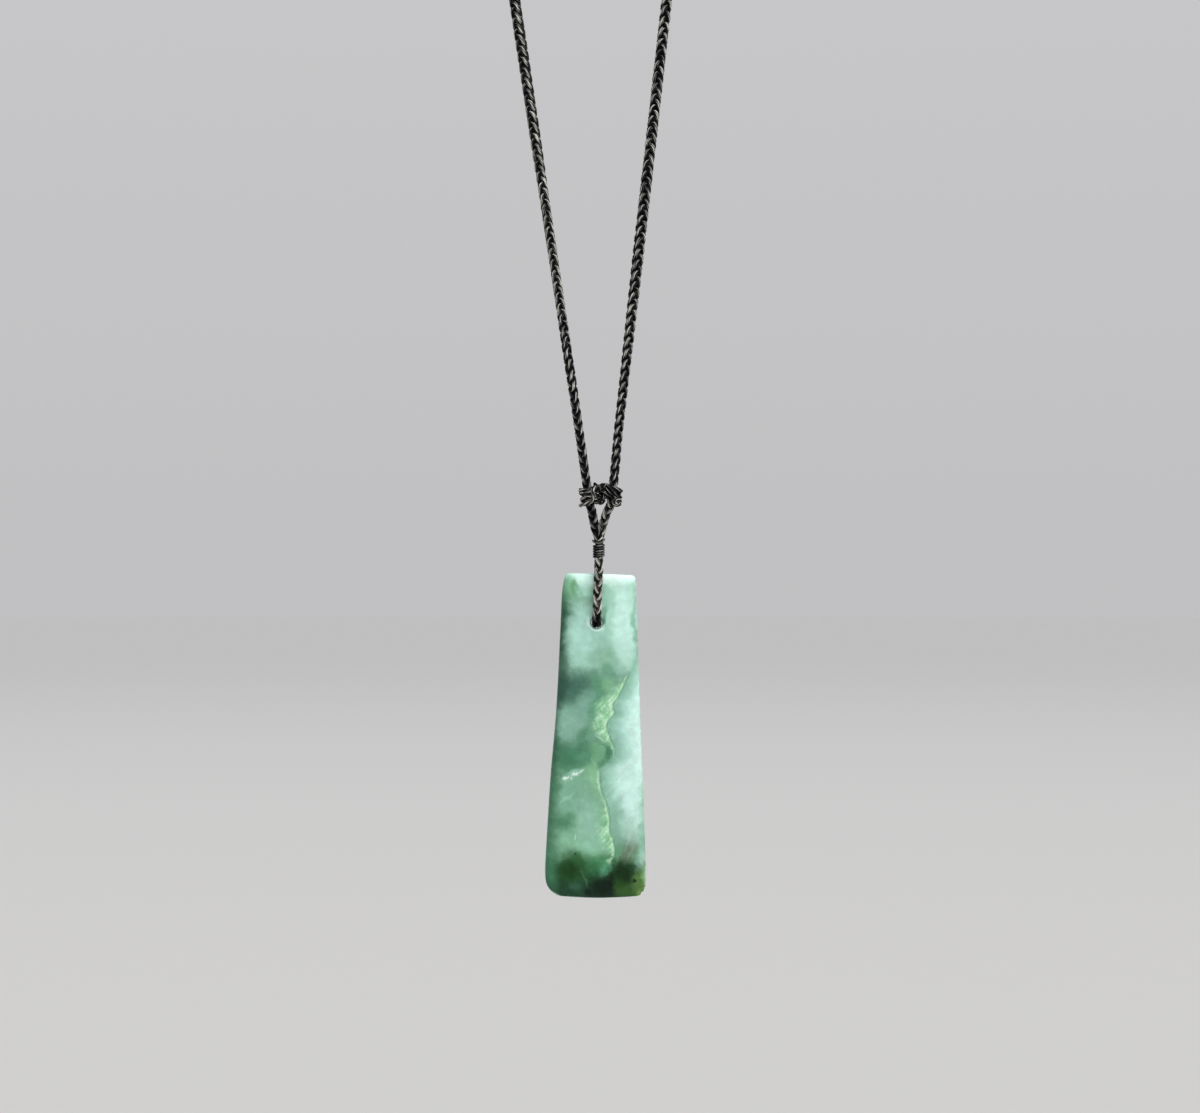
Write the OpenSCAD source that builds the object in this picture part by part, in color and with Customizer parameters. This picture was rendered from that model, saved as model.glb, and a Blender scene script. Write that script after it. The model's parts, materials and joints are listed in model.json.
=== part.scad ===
// Toki pendant necklace: an adze-shaped stone blade on a plaited cord.
// Millimetres, +Z up, +Y away from the viewer. The origin is the underside of the
// top of the loop, where the necklace hangs.

/* [Stone] */
// Height of the stone, from its top edge to the blade's edge
stone_h = 75; // [65:1:85]
// Width of the stone at its blade
stone_w = 23.4; // [20:0.2:26]
// Thickness of the stone at its middle
stone_t = 5.2; // [4.6:0.1:5.4]
// Distance of the hole's centre below the top edge
hole_drop = 11.1; // [10.6:0.1:11.6]
// Diameter of the drilled hole
hole_d = 2.6; // [2.5:0.05:3]
// Diameter of the hole's bevelled rim
rim_d = 4.2; // [3.6:0.1:4.6]
// Radius that rounds the stone's edges
edge_r = 1.6; // [1.2:0.1:1.8]

/* [Cord] */
// Diameter of the plaited cord
cord_d = 2.2; // [1.8:0.05:2.3]
// Diameter of the cord where the whipping squeezes it
squeezed_d = 1.8; // [1.6:0.05:1.85]
// Lean of the left leg of the loop from plumb, in degrees
left_lean = 8.5; // [7:0.1:10]
// Lean of the right leg of the loop from plumb, in degrees
right_lean = 6.4; // [5:0.1:8]
// Radius of the loop's round top
loop_r = 40; // [36:1:60]

/* [Bindings] */
// Width of the whipping's thread, which is the spacing of its turns
thread_w = 0.58; // [0.5:0.02:0.6]
// Thickness of the thread, pulled flat
thread_t = 0.33; // [0.2:0.01:0.4]
// Turns of thread in the whipping
whipping_turns = 5; // [4:1:6]
// Diameter of the strand that each lashing is wound from
strand_d = 1.1; // [0.8:0.05:1.2]
// Turns of strand in each lashing
lashing_turns = 3; // [2:1:3]
// Length of the join at the back of the neck
join_l = 10; // [6:1:16]
// Diameter of the join at the back of the neck
join_d = 3.2; // [2.8:0.1:4]

/* [Hidden] */

// Sides of the cord's tubes, and of what is wound on it
cord_sides = 8;
wound_sides = 16;
// Space between the cord and what is wound on it
wound_gap = 0.08;

// The stone's sides, in rows from the top corners down to the blade's corners
// [drop as a share of the height, left and right reach as shares of the width,
//  thickness as a share of the full one]
SIDES = [
    [0.036, 0.342, 0.383, 0.70],
    [0.190, 0.365, 0.398, 0.84],
    [0.340, 0.388, 0.413, 0.95],
    [0.480, 0.416, 0.428, 1.00],
    [0.600, 0.461, 0.441, 1.00],
    [0.750, 0.484, 0.460, 0.95],
    [0.870, 0.508, 0.475, 0.80],
    [0.960, 0.522, 0.478, 0.58]
];
// Thickness shares of the two ends
top_thin = 0.68;
blade_thin = 0.42;
// Width and height of the rounding at each corner
top_left_corner = [1.2, 2.7];
top_right_corner = [1.5, 1.6];
blade_left_corner = [4.1, 3.0];
blade_right_corner = [2.7, 2.3];
// Fall of the top edge from left to right
top_fall = 0.25;
// Rise of the blade's left end over its right end, and the bow of its edge
blade_rise = 0.2;
blade_bow = 0.5;
// Share of the thickness that stays flat at the very edge, and the faces' crown
edge_flat = 0.22;
crown = 0.06;
// Steps of each rounded corner, and where the mesh lines lie across a face
corner_steps = 4;
edge_insets = [0, 0.15, 0.55, 1.1, 1.7];
middle_shares = [0.3, 0.5, 0.7];

// The cord's bight, shared by its two halves: out of the hole, up the stone's face
// and through the whipping, as [sideways, depth from the stone's middle, height
// over the hole]. The first point only sets the direction of the cord's end.
BIGHT_ROUTE = [
    [0.0, -1.5, 0.05], [0.0, 0.0, 0.05], [0.0, 1.5, 0.05], [0.0, 2.5, 0.3],
    [0.0, 3.25, 1.1], [0.1, 3.5, 2.6], [0.2, 3.4, 6.0], [0.4, 3.3, 10.5],
    [0.5, 3.1, 12.2], [0.5, 2.75, 13.2], [0.5, 2.2, 13.95], [0.5, 1.65, 14.5],
    [0.5, 1.3, 15.05], [0.5, 1.1, 16.0], [0.5, 0.9, 18.1]
];
// The arm of each half, from the whipping up to its lashing
LEFT_ARM = [
    [0.5, 1.1, 18.9], [0.2, 1.2, 20.4], [-0.4, 0.9, 22.2], [-0.8, 0.4, 24.2],
    [-1.2, 0.0, 26.2]
];
RIGHT_ARM = [
    [0.6, 1.1, 18.9], [0.8, 1.2, 20.4], [1.3, 0.9, 22.2], [1.9, 0.4, 24.2],
    [2.6, 0.0, 26.2]
];
// Heights over the hole between which the whipping squeezes the cord
squeeze_from = 15;
squeeze_to = 18.2;
// Where the lines of the two legs would cross, sideways and over the hole
crossing = [1.14, 9.6];
// Height over the hole from which each leg is straight
leg_foot = 27;
// Rings along a straight leg, and along each half of the round top
leg_rings = 15;
top_rings = 10;

// Height of the whipping's lowest turn over the hole
whipping_foot = 15.45;
// The whipping's place sideways, and how far each of its sides stands from the
// middle at its head and at its foot, where the cord parts to pass the stone
whipping_x = 0.5;
whipping_head_y = 0.9;
whipping_foot_y = 1.45;
// Height of each lashing's middle over the hole, and how far its turns fall
// outwards for each millimetre
lashing_left_z = 29.5;
lashing_right_z = 30.3;
left_fall = -0.3;
right_fall = 0.5;
// Push of the right lashing to the side, where its strand is tied off
right_push = 0.7;
// The strand that ties the lashings together: its ends, its height over the hole
// and its diameter
tie_from = 0.42;
tie_to = 1.42;
tie_z = 30.7;
tie_d = 1.5;

// Derived values: the loop's round top touches both legs, and its highest point
// lies over the origin
half_spread = (left_lean + right_lean) / 2;
loop_tilt = (left_lean - right_lean) / 2;
reach_up = loop_r / sin(half_spread);
loop_centre = crossing + reach_up * [-sin(loop_tilt), cos(loop_tilt)];
hole_at = [-loop_centre[0], 0, join_d / 2 - loop_r - loop_centre[1]];
join_turn = join_l / loop_r * 180 / PI;

function unit(v) = v / norm(v);
function from_hole(flat, depth = 0) = [flat[0], depth, flat[1]];
function drop_z(share) = hole_drop - share * stone_h;
function leg_point(lean, z) = [crossing[0] + tan(lean) * (z - crossing[1]), z];
function leg_z(lean) = loop_centre[1] - loop_r * sin(abs(lean));

// Points of the stone's outline: each row pairs the left edge with the right one
function corner(side, end, size, reach, z, turn) =
    [side * (reach - size[0] * (1 - cos(turn))), z - end * size[1] * (1 - sin(turn))];
function side_reach(row, column) = SIDES[row][column] * stone_w;

last = len(SIDES) - 1;
top_z = drop_z(0);
blade_z = drop_z(1) + blade_bow;
turns_in = [for (i = [0:corner_steps]) 90 * i / corner_steps];

edge_pairs = concat(
    [for (i = [corner_steps:-1:0]) let (turn = turns_in[i]) [
        corner(-1, 1, top_left_corner, side_reach(0, 1), top_z, turn),
        corner(1, 1, top_right_corner, side_reach(0, 2), top_z - top_fall, turn)]],
    [for (row = [1:last - 1]) [
        [-side_reach(row, 1), drop_z(SIDES[row][0])],
        [side_reach(row, 2), drop_z(SIDES[row][0])]]],
    [for (turn = turns_in) [
        corner(-1, -1, blade_left_corner, side_reach(last, 1), blade_z + blade_rise, turn),
        corner(1, -1, blade_right_corner, side_reach(last, 2), blade_z, turn)]]
);
row_bows = [for (row = [0:len(edge_pairs) - 1])
    let (step = row - (len(edge_pairs) - 1 - corner_steps))
    step > 0 ? blade_bow * pow(step / corner_steps, 2) : 0];

function row_shares(width) = concat(
    [for (inset = edge_insets) inset / width],
    middle_shares,
    [for (i = [len(edge_insets) - 1:-1:0]) 1 - edge_insets[i] / width]);
face_grid = [for (row = [0:len(edge_pairs) - 1])
    let (left = edge_pairs[row][0], right = edge_pairs[row][1])
    [for (share = row_shares(norm(right - left)))
        left + share * (right - left) - [0, row_bows[row] * 4 * share * (1 - share)]]];
rows = len(face_grid);
columns = len(face_grid[0]);

outline = concat(
    [for (row = [0:rows - 1]) face_grid[row][columns - 1]],
    [for (column = [columns - 2:-1:0]) face_grid[rows - 1][column]],
    [for (row = [rows - 2:-1:0]) face_grid[row][0]],
    [for (column = [1:columns - 2]) face_grid[0][column]]);

// Distance of a point of the face from the outline
function to_segment(p, a, b) =
    let (along = max(0, min(1, (p - a) * (b - a) / ((b - a) * (b - a)))))
    norm(p - a - along * (b - a));
function to_outline(p) = min([for (i = [0:len(outline) - 1])
    to_segment(p, outline[i], outline[(i + 1) % len(outline)])]);

// Half of the stone's thickness at a point of its face
thickness_rows = concat(
    [[-1, blade_thin], [0, blade_thin]],
    [for (row = [last:-1:0]) [1 - SIDES[row][0], SIDES[row][3]]],
    [[1, top_thin], [2, top_thin]]);
function half_thickness(p, across) =
    let (full = stone_t / 2 * lookup(1 - (hole_drop - p[1]) / stone_h, thickness_rows),
         inside = 1 - min(to_outline(p), edge_r) / edge_r,
         crowned = full * (1 - crown * across * across))
    crowned * (edge_flat + (1 - edge_flat) * sqrt(1 - inside * inside));

module stone_body() {
    depths = [for (row = face_grid) [for (column = [0:columns - 1])
        half_thickness(row[column], 2 * column / (columns - 1) - 1)]];
    points = [for (side = [-1, 1]) for (row = [0:rows - 1]) for (column = [0:columns - 1])
        from_hole(face_grid[row][column], side * depths[row][column])];
    back = rows * columns;
    rim = concat(
        [for (column = [0:columns - 1]) column],
        [for (row = [1:rows - 1]) row * columns + columns - 1],
        [for (column = [columns - 2:-1:0]) (rows - 1) * columns + column],
        [for (row = [rows - 2:-1:1]) row * columns]);
    faces = concat(
        [for (row = [0:rows - 2]) for (column = [0:columns - 2])
            let (k = row * columns + column) [k, k + columns, k + columns + 1, k + 1]],
        [for (row = [0:rows - 2]) for (column = [0:columns - 2])
            let (k = back + row * columns + column) [k, k + 1, k + columns + 1, k + columns]],
        [for (i = [0:len(rim) - 1]) let (a = rim[i], b = rim[(i + 1) % len(rim)])
            [a, b, b + back, a + back]]);
    polyhedron(points, [for (face = faces) [for (i = [3:-1:0]) face[i]]]);
}

// A tube swept along a route, with a radius for each point. The route's first and
// last points have no ring: they only set the directions of the tube's ends.
function headings(route) = [for (i = [1:len(route) - 2])
    unit(route[i + 1] - route[i - 1])];
function carried(heads, first) = [
    for (i = 0, side = first; i < len(heads); i = i + 1,
         side = i < len(heads) ? unit(cross(heads[i], cross(side, heads[i]))) : side) side];

module tube(route, radii, first) {
    heads = headings(route);
    sides = carried(heads, first);
    n = cord_sides;
    rings = len(heads);
    points = [for (i = [0:rings - 1]) for (k = [0:n - 1])
        route[i + 1] + radii[i + 1] * (cos(360 * k / n) * sides[i]
            + sin(360 * k / n) * cross(heads[i], sides[i]))];
    faces = concat(
        [[for (k = [0:n - 1]) k]],
        [for (i = [0:rings - 2]) for (k = [0:n - 1]) let (next = (k + 1) % n)
            [i * n + k, (i + 1) * n + k, (i + 1) * n + next, i * n + next]],
        [[for (k = [n - 1:-1:0]) (rings - 1) * n + k]]);
    polyhedron(points, faces);
}

// Route of one half of the cord: out of the hole, up the stone's face, through the
// whipping, and round the loop as far as the join
function cord_route(arm, depth_sign, lean) =
    let (side = sign(lean), z_top = leg_z(lean))
    concat(
        [for (p = concat(BIGHT_ROUTE, arm)) [p[0], depth_sign * p[1], p[2]]],
        [for (i = [0:leg_rings - 1])
            from_hole(leg_point(lean, leg_foot + (z_top - leg_foot) * i / leg_rings))],
        [for (i = [0:top_rings + 1])
            let (turn = (90 + abs(lean) - join_turn / 2) * i / top_rings - abs(lean))
            from_hole(loop_centre + loop_r * [side * cos(turn), sin(turn)])]);
function cord_radii(route) = [for (p = route)
    (p[2] > squeeze_from && p[2] < squeeze_to ? squeezed_d : cord_d) / 2];

module cord_half(arm, depth_sign, lean) {
    whole = cord_route(arm, depth_sign, lean);
    translate(hole_at) tube(whole, cord_radii(whole), [1, 0, 0]);
}

// Turns of thread round a core, as one sleeve with a lobe for each turn. They fall
// to the right by a share of their reach, and their two sides stand head_span apart
// from the middle at the head and foot_span at the foot.
function wound_profile(turns, pitch, bore_r, wall) = concat(
    [[bore_r, (turns * pitch) / 2], [bore_r, -(turns * pitch) / 2]],
    [for (turn = [0:turns - 1]) for (step = [0:4])
        let (a = -72 + 36 * step, z = (turn - (turns - 1) / 2) * pitch)
        [bore_r + wall / 2 * (1 + cos(a)), z + pitch / 2 * sin(a)]]);
function round_steps(is_split) = let (n = wound_sides) concat(
    [for (i = [0:n / 2]) [360 * i / n, 1]],
    [for (i = [n / 2:n]) if (is_split || (i > n / 2 && i < n)) [360 * i / n, -1]]);

module wound_sleeve(turns, pitch, bore_r, wall, fall = 0, push = 0,
                    head_span = 0, foot_span = 0) {
    profile = wound_profile(turns, pitch, bore_r, wall);
    steps = round_steps(foot_span > 0);
    m = len(profile);
    count = len(steps);
    points = [for (step = steps) for (p = profile)
        let (out = (p[0] - bore_r) / wall, x = p[0] * cos(step[0]) + push * out / 2,
             down = 0.5 - p[1] / (turns * pitch),
             y = p[0] * sin(step[0]) + step[1] * (head_span + down * (foot_span - head_span)))
        [x, y, p[1] - fall * x]];
    faces = [for (i = [0:count - 1]) for (k = [0:m - 1])
        let (i2 = (i + 1) % count, k2 = (k + 1) % m)
        [i * m + k, i * m + k2, i2 * m + k2, i2 * m + k]];
    polyhedron(points, faces);
}

module toki_stone() {
    depth = half_thickness([0, 0], 0);
    rim_depth = (rim_d - hole_d) / 2;
    color("#9fd3bf") translate(hole_at) difference() {
        stone_body();
        rotate([90, 0, 0]) cylinder(d = hole_d, h = 2 * stone_t, center = true, $fn = 64);
        for (turn = [90, -90]) rotate([turn, 0, 0])
            translate([0, 0, depth - rim_depth])
            cylinder(d1 = hole_d, d2 = hole_d + 4 * rim_depth, h = 2 * rim_depth, $fn = 64);
    }
}

module cord_left() {
    color("#3a3b3d") cord_half(LEFT_ARM, -1, -left_lean);
}

module cord_right() {
    color("#3a3b3d") cord_half(RIGHT_ARM, 1, right_lean);
}

module whipping() {
    color("#4c4e50") translate(hole_at)
        translate([whipping_x, 0, whipping_foot + thread_w * (whipping_turns - 1) / 2])
        wound_sleeve(whipping_turns, thread_w, squeezed_d / 2 + wound_gap, thread_t,
            head_span = whipping_head_y, foot_span = whipping_foot_y);
}

module lashing(lean, z, fall, push) {
    color("#55575a") translate(hole_at + from_hole(leg_point(lean, z)))
        rotate([0, lean, 0])
        wound_sleeve(lashing_turns, strand_d, cord_d / 2 + wound_gap, strand_d, fall, push);
}

module lashing_left() {
    lashing(-left_lean, lashing_left_z, left_fall, 0);
}

module lashing_right() {
    lashing(right_lean, lashing_right_z, right_fall, right_push);
}

module cross_tie() {
    color("#2e3036") translate(hole_at + [tie_from, 0, tie_z]) rotate([0, 90, 0])
        cylinder(d = tie_d, h = tie_to - tie_from, $fn = 24);
}

module back_join() {
    color("#4c4e50") translate([0, 0, join_d / 2 - loop_r]) rotate([90, 0, 0])
        rotate([0, 0, 90 - join_turn / 2]) rotate_extrude(angle = join_turn, $fn = 96)
        translate([loop_r, 0]) circle(d = join_d, $fn = 32);
}

toki_stone();
cord_left();
cord_right();
whipping();
lashing_left();
lashing_right();
cross_tie();
back_join();
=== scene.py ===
# Toki pendant: a polished blade of jade, hung from its drilled hole on a plait of
# waxed thread, with a whipping above the stone and a lashing on each leg of the cord.
import json
import math

import bpy
import numpy as np
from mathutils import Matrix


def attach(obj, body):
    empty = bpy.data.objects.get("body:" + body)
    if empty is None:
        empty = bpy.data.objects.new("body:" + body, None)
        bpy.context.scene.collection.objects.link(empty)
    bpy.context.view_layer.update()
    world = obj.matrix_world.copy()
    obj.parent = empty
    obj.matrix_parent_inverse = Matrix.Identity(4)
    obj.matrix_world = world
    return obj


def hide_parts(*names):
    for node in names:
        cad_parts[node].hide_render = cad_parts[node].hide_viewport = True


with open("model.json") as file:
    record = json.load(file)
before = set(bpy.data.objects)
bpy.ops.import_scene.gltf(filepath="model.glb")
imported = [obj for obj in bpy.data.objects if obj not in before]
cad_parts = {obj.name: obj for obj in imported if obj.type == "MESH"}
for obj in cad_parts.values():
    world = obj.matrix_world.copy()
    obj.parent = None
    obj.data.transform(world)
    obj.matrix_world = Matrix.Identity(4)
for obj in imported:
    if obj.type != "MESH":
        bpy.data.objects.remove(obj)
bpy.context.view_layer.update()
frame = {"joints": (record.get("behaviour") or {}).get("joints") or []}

bpy.ops.object.select_all(action="DESELECT")

# Sizes are in millimetres, and places are measured from the centre of the stone's
# hole: to the right, away from the viewer, and up. MM turns them into metres.
MM = 0.001
TO_VIEWER = (0.0, -1.0, 0.0)
HOLE = np.array(frame["joints"][0]["pos_m"]) / MM

# The cord, as the part's source has it
CORD_D = 2.2
SQUEEZED_D = 1.8
LEFT_LEAN = 8.5
RIGHT_LEAN = 6.4
LOOP_R = 40
JOIN_L = 10
JOIN_D = 3.2
CROSSING = (1.14, 9.6)
LEG_FOOT = 27
LEG_RINGS = 15
TOP_RINGS = 10
LOOP_CENTRE = np.array([-HOLE[0], 0, JOIN_D / 2 - LOOP_R - HOLE[2]])
# Heights over which the whipping's squeeze on the cord sets in, and over which it ends
SQUEEZE_START = (14.5, 15.3)
SQUEEZE_END = (17.9, 19.1)
BIGHT_ROUTE = [
    (0.0, 0.0, 0.05), (0.0, 1.5, 0.05), (0.0, 2.5, 0.3), (0.0, 3.25, 1.1), (0.1, 3.5, 2.6),
    (0.2, 3.4, 6.0), (0.4, 3.3, 10.5), (0.5, 3.1, 12.2), (0.5, 2.75, 13.2), (0.5, 2.2, 13.95),
    (0.5, 1.65, 14.5), (0.5, 1.3, 15.05), (0.5, 1.1, 16.0), (0.5, 0.9, 18.1),
]
LEFT_ARM = [
    (0.5, 1.1, 18.9), (0.2, 1.2, 20.4), (-0.4, 0.9, 22.2), (-0.8, 0.4, 24.2), (-1.2, 0.0, 26.2),
]
RIGHT_ARM = [
    (0.6, 1.1, 18.9), (0.8, 1.2, 20.4), (1.3, 0.9, 22.2), (1.9, 0.4, 24.2), (2.6, 0.0, 26.2),
]

# The plait: four strands, two turning each way, which pass over and under each other
LEG_PITCH = 5.16
FRONT_PITCH = 6.2
STRAND_R = 0.5
STRAND_WEAVE = 0.2
STRAND_HALF_W = 0.5
STRAND_HALF_T = 0.42
STRAND_SQUARE = 1.3
# A strand runs slowly across the column where it lies over the others, and dives quickly
# across where it lies under them. A narrow groove, shaded on the legs, parts the columns.
GROOVE = 0.1
GROOVE_NARROW = 8
GROOVE_SHADE = 0.3
OVER_LIGHT = 0.1
# The plait lies with a groove towards the viewer. The half that leaves the hole at the back
# turns a quarter round itself over BACK_TURN, and the pitch tightens over LEG_REACH, both as
# distances from the hole. Both halves wander: [degrees, millimetres for a radian, start]
COLUMN_TURN = 45
BACK_TURN = (2, 14)
LEG_REACH = (22, 32)
PLAIT_WANDER = [(6, 11, 0), (4, 4.7, 1)]
# Up the legs the plait turns slowly round itself and gets looser, and some stretches of it are
# paler or darker than others. The lower the dive, the nearer the strands run to the line of the cord:
# [height over the hole, how thick, degrees turned, how much paler, dive]
LEFT_HALF_LOOK = [
    (0, 1.0, 0, 0, 0.32), (3, 1.0, 0, 0.17, 0.32), (13, 1.0, 0, 0.17, 0.32), (16, 1.0, 0, 0, 0.32),
    (20, 1.0, 0, -0.07, 0.32), (27, 1.0, 0, -0.07, 0.3), (30, 1.0, 0, 0.02, 0.28),
    (47, 1.0, 0, 0.04, 0.28), (54, 1.0, 15, 0.04, 0.24), (60, 1.0, 45, 0.05, 0.2),
    (69, 1.02, 78, 0.06, 0.14), (75, 1.04, 90, 0.07, 0.12), (100, 1.1, 92, 0.08, 0.12),
    (114, 1.15, 106, 0.07, 0.12), (126, 1.18, 118, 0.06, 0.12), (150, 1.18, 132, 0.05, 0.16),
]
RIGHT_HALF_LOOK = [
    (17, 1.0, 0, 0, 0.32), (20, 1.0, 0, 0.2, 0.3), (27, 1.0, 0, 0.2, 0.28),
    (30, 1.0, -12, 0.07, 0.28), (40, 0.98, -50, 0.07, 0.26), (58, 1.03, -64, 0.07, 0.24),
    (72, 1.16, -72, 0.07, 0.24), (90, 1.24, -82, 0.07, 0.24), (110, 1.22, -92, 0.07, 0.24),
    (150, 1.18, -80, 0.07, 0.24),
]
# In the hole the plait swells to fill the bore, lies a little lower, and is in the shade. The
# reaches are the distances from the hole's middle over which that ends.
BORE_SWELL = 1.06
BORE_DROP = 0.05
BORE_REACH = (1.8, 3.0)
BORE_SHADE = 1.4
BORE_SHADE_REACH = (2.8, 4.6)
# A strand's mesh, and how light it is painted: a base level, and a painted highlight along its
# outermost side and on the ridges of its plies
STRAND_SIDES = 14
RINGS_PER_PITCH = 20
PLY_RIDGE = 0.13
PLY_TWIST_L = 14
STRAND_CREST = 0.12
CREST_FROM = 0.7
RIDGE_LIGHT = 0.17
# Streaks of wax and single fibres on a strand: their widths, and how wide they are for their
# length. The fibres are drawn four times as coarse as real ones, so that they show. Under
# them the wax is patchy, with this many patches in a millimetre.
STREAK_W = 0.3
STREAK_SLIM = 0.12
FIBRE_W = 0.08
FIBRE_SLIM = 0.08
WAX_PATCHES = 0.45

# The bindings
THREAD_W = 0.6
THREAD_T = 0.38
THREAD_HALF_W = 0.42 * THREAD_W
THREAD_HALF_T = 0.66 * THREAD_T
WOUND_GAP = 0.08
WHIPPING_TURNS = 5
WHIPPING_STEPS = 36
WHIPPING_FOOT = 15.45
WHIPPING_X = 0.5
WHIPPING_HEAD_Y = 0.9
WHIPPING_FOOT_Y = 1.45
# How square its turns are, how pale, and over which places from its middle they come out of
# the shade on the left, where they face away from the light
WHIPPING_SQUARE = 4
WOUND_CREST = 0.24
WHIPPING_LIT = (-0.7, 0.3)
# A looser turn lies across the foot of the vee, lowest at its middle
LOOSE_STEPS = 60
LOOSE_X = 0.45
LOOSE_REACH = (1.38, 1.05)
LOOSE_SPAN = 1.2
LOOSE_FOOT = 18.45
LOOSE_RISE = 0.75
LOOSE_TILT = 0.15
LOOSE_SQUARE = 3
LOOSE_HALF_W = 0.24
LOOSE_HALF_T = 0.2
LOOSE_CREST = 0.3
# A short end of thread, pulled tight under the vee, catches the light
THREAD_TAIL = [(0.2, -1.1, 18.9), (0.45, -2.0, 19.0), (0.85, -2.25, 19.3), (1.2, -2.0, 19.65),
               (1.35, -1.2, 19.8)]
TAIL_R = 0.16
TAIL_CREST = 0.75
# Plies of a strand: their distance from its middle and their radius, as shares of its thickness
PLY_REACH = 0.26
PLY_R = 0.25
PLY_LIGHT = 0.14
LASHING_D = 1.1
LASHING_TURNS = 3
LASHING_STEPS = 40
LASHING_RIDE = 0.06
LASHING_LEFT_Z = 29.5
LASHING_RIGHT_Z = 30.3
FREE_LEFT_D = 0.9
FREE_RIGHT_D = 0.8
FREE_STEP = 0.2
JOIN_STEPS = 24
JOIN_GAP = 0.02


def shown(points):
    """Points in millimetres from the hole, as metres in the row frame."""
    return (np.asarray(points, float) + HOLE) * MM


def unit(vectors):
    """Vectors of length one."""
    vectors = np.asarray(vectors, float)
    return vectors / np.linalg.norm(vectors, axis=-1, keepdims=True)


def linear(hex_text):
    """An sRGB colour, such as "a8d8c4", as linear red, green, blue and alpha."""
    parts = [int(hex_text[i:i + 2], 16) / 255 for i in (0, 2, 4)]
    return [c / 12.92 if c <= 0.04045 else ((c + 0.055) / 1.055) ** 2.4 for c in parts] + [1.0]


def smoothstep(low, high, values):
    """A soft step from 0 at low to 1 at high."""
    share = np.clip((np.asarray(values, float) - low) / (high - low), 0, 1)
    return share * share * (3 - 2 * share)


# Camera and photo: where the hole and the middle of the picture lie in it
PHOTO_SCALE = 0.2322
PHOTO_HOLE_PX = (596.7, 622.6)
PHOTO_MIDDLE_PX = (600, 556.5)
PHOTO_WIDTH_PX = 1200
LENS = 85
SENSOR = 36


def build_camera():
    """The photo's camera looks level along +Y, at the height of the picture's middle."""
    right = (PHOTO_MIDDLE_PX[0] - PHOTO_HOLE_PX[0]) * PHOTO_SCALE
    up = (PHOTO_HOLE_PX[1] - PHOTO_MIDDLE_PX[1]) * PHOTO_SCALE
    distance = PHOTO_WIDTH_PX * PHOTO_SCALE * LENS / SENSOR
    bpy.ops.object.camera_add(location=shown((right, -distance, up)), rotation=(math.pi / 2, 0, 0))
    camera = bpy.context.object
    camera.data.lens = LENS
    camera.data.sensor_width = SENSOR
    camera.data.clip_start = 0.01
    bpy.context.scene.camera = camera


# Materials. Most noise lies between 0.3 and 0.7.
NOISE_RANGE = [("From Min", 0.3), ("From Max", 0.7)]
SMOOTH = {"interpolation_type": "SMOOTHSTEP"}


def add(tree, kind, inputs=(), stops=(), points=(), **settings):
    """Adds a node. inputs holds (socket, value or output socket) pairs, stops holds a colour
    ramp's (place, hex colour) pairs, and points a float curve's (place, value) pairs."""
    made = tree.nodes.new(kind)
    for name, value in settings.items():
        setattr(made, name, value)
    for socket, value in inputs:
        if isinstance(value, bpy.types.NodeSocket):
            tree.links.new(value, made.inputs[socket])
        else:
            made.inputs[socket].default_value = value
    for i, (place, colour) in enumerate(stops):
        spots = made.color_ramp.elements
        spot = spots[i] if i < len(spots) else spots.new(place)
        spot.position = place
        spot.color = linear(colour)
    if points:
        curve = made.mapping.curves[0]
        for i, (place, value) in enumerate(points):
            spot = curve.points[i] if i < 2 else curve.points.new(place, value)
            spot.location = (place, value)
        made.mapping.update()
    return made


def new_material(name):
    """A material with an empty node tree, and its output node."""
    material = bpy.data.materials.new(name)
    material.use_nodes = True
    material.node_tree.nodes.clear()
    return material, material.node_tree, material.node_tree.nodes.new("ShaderNodeOutputMaterial")


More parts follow.
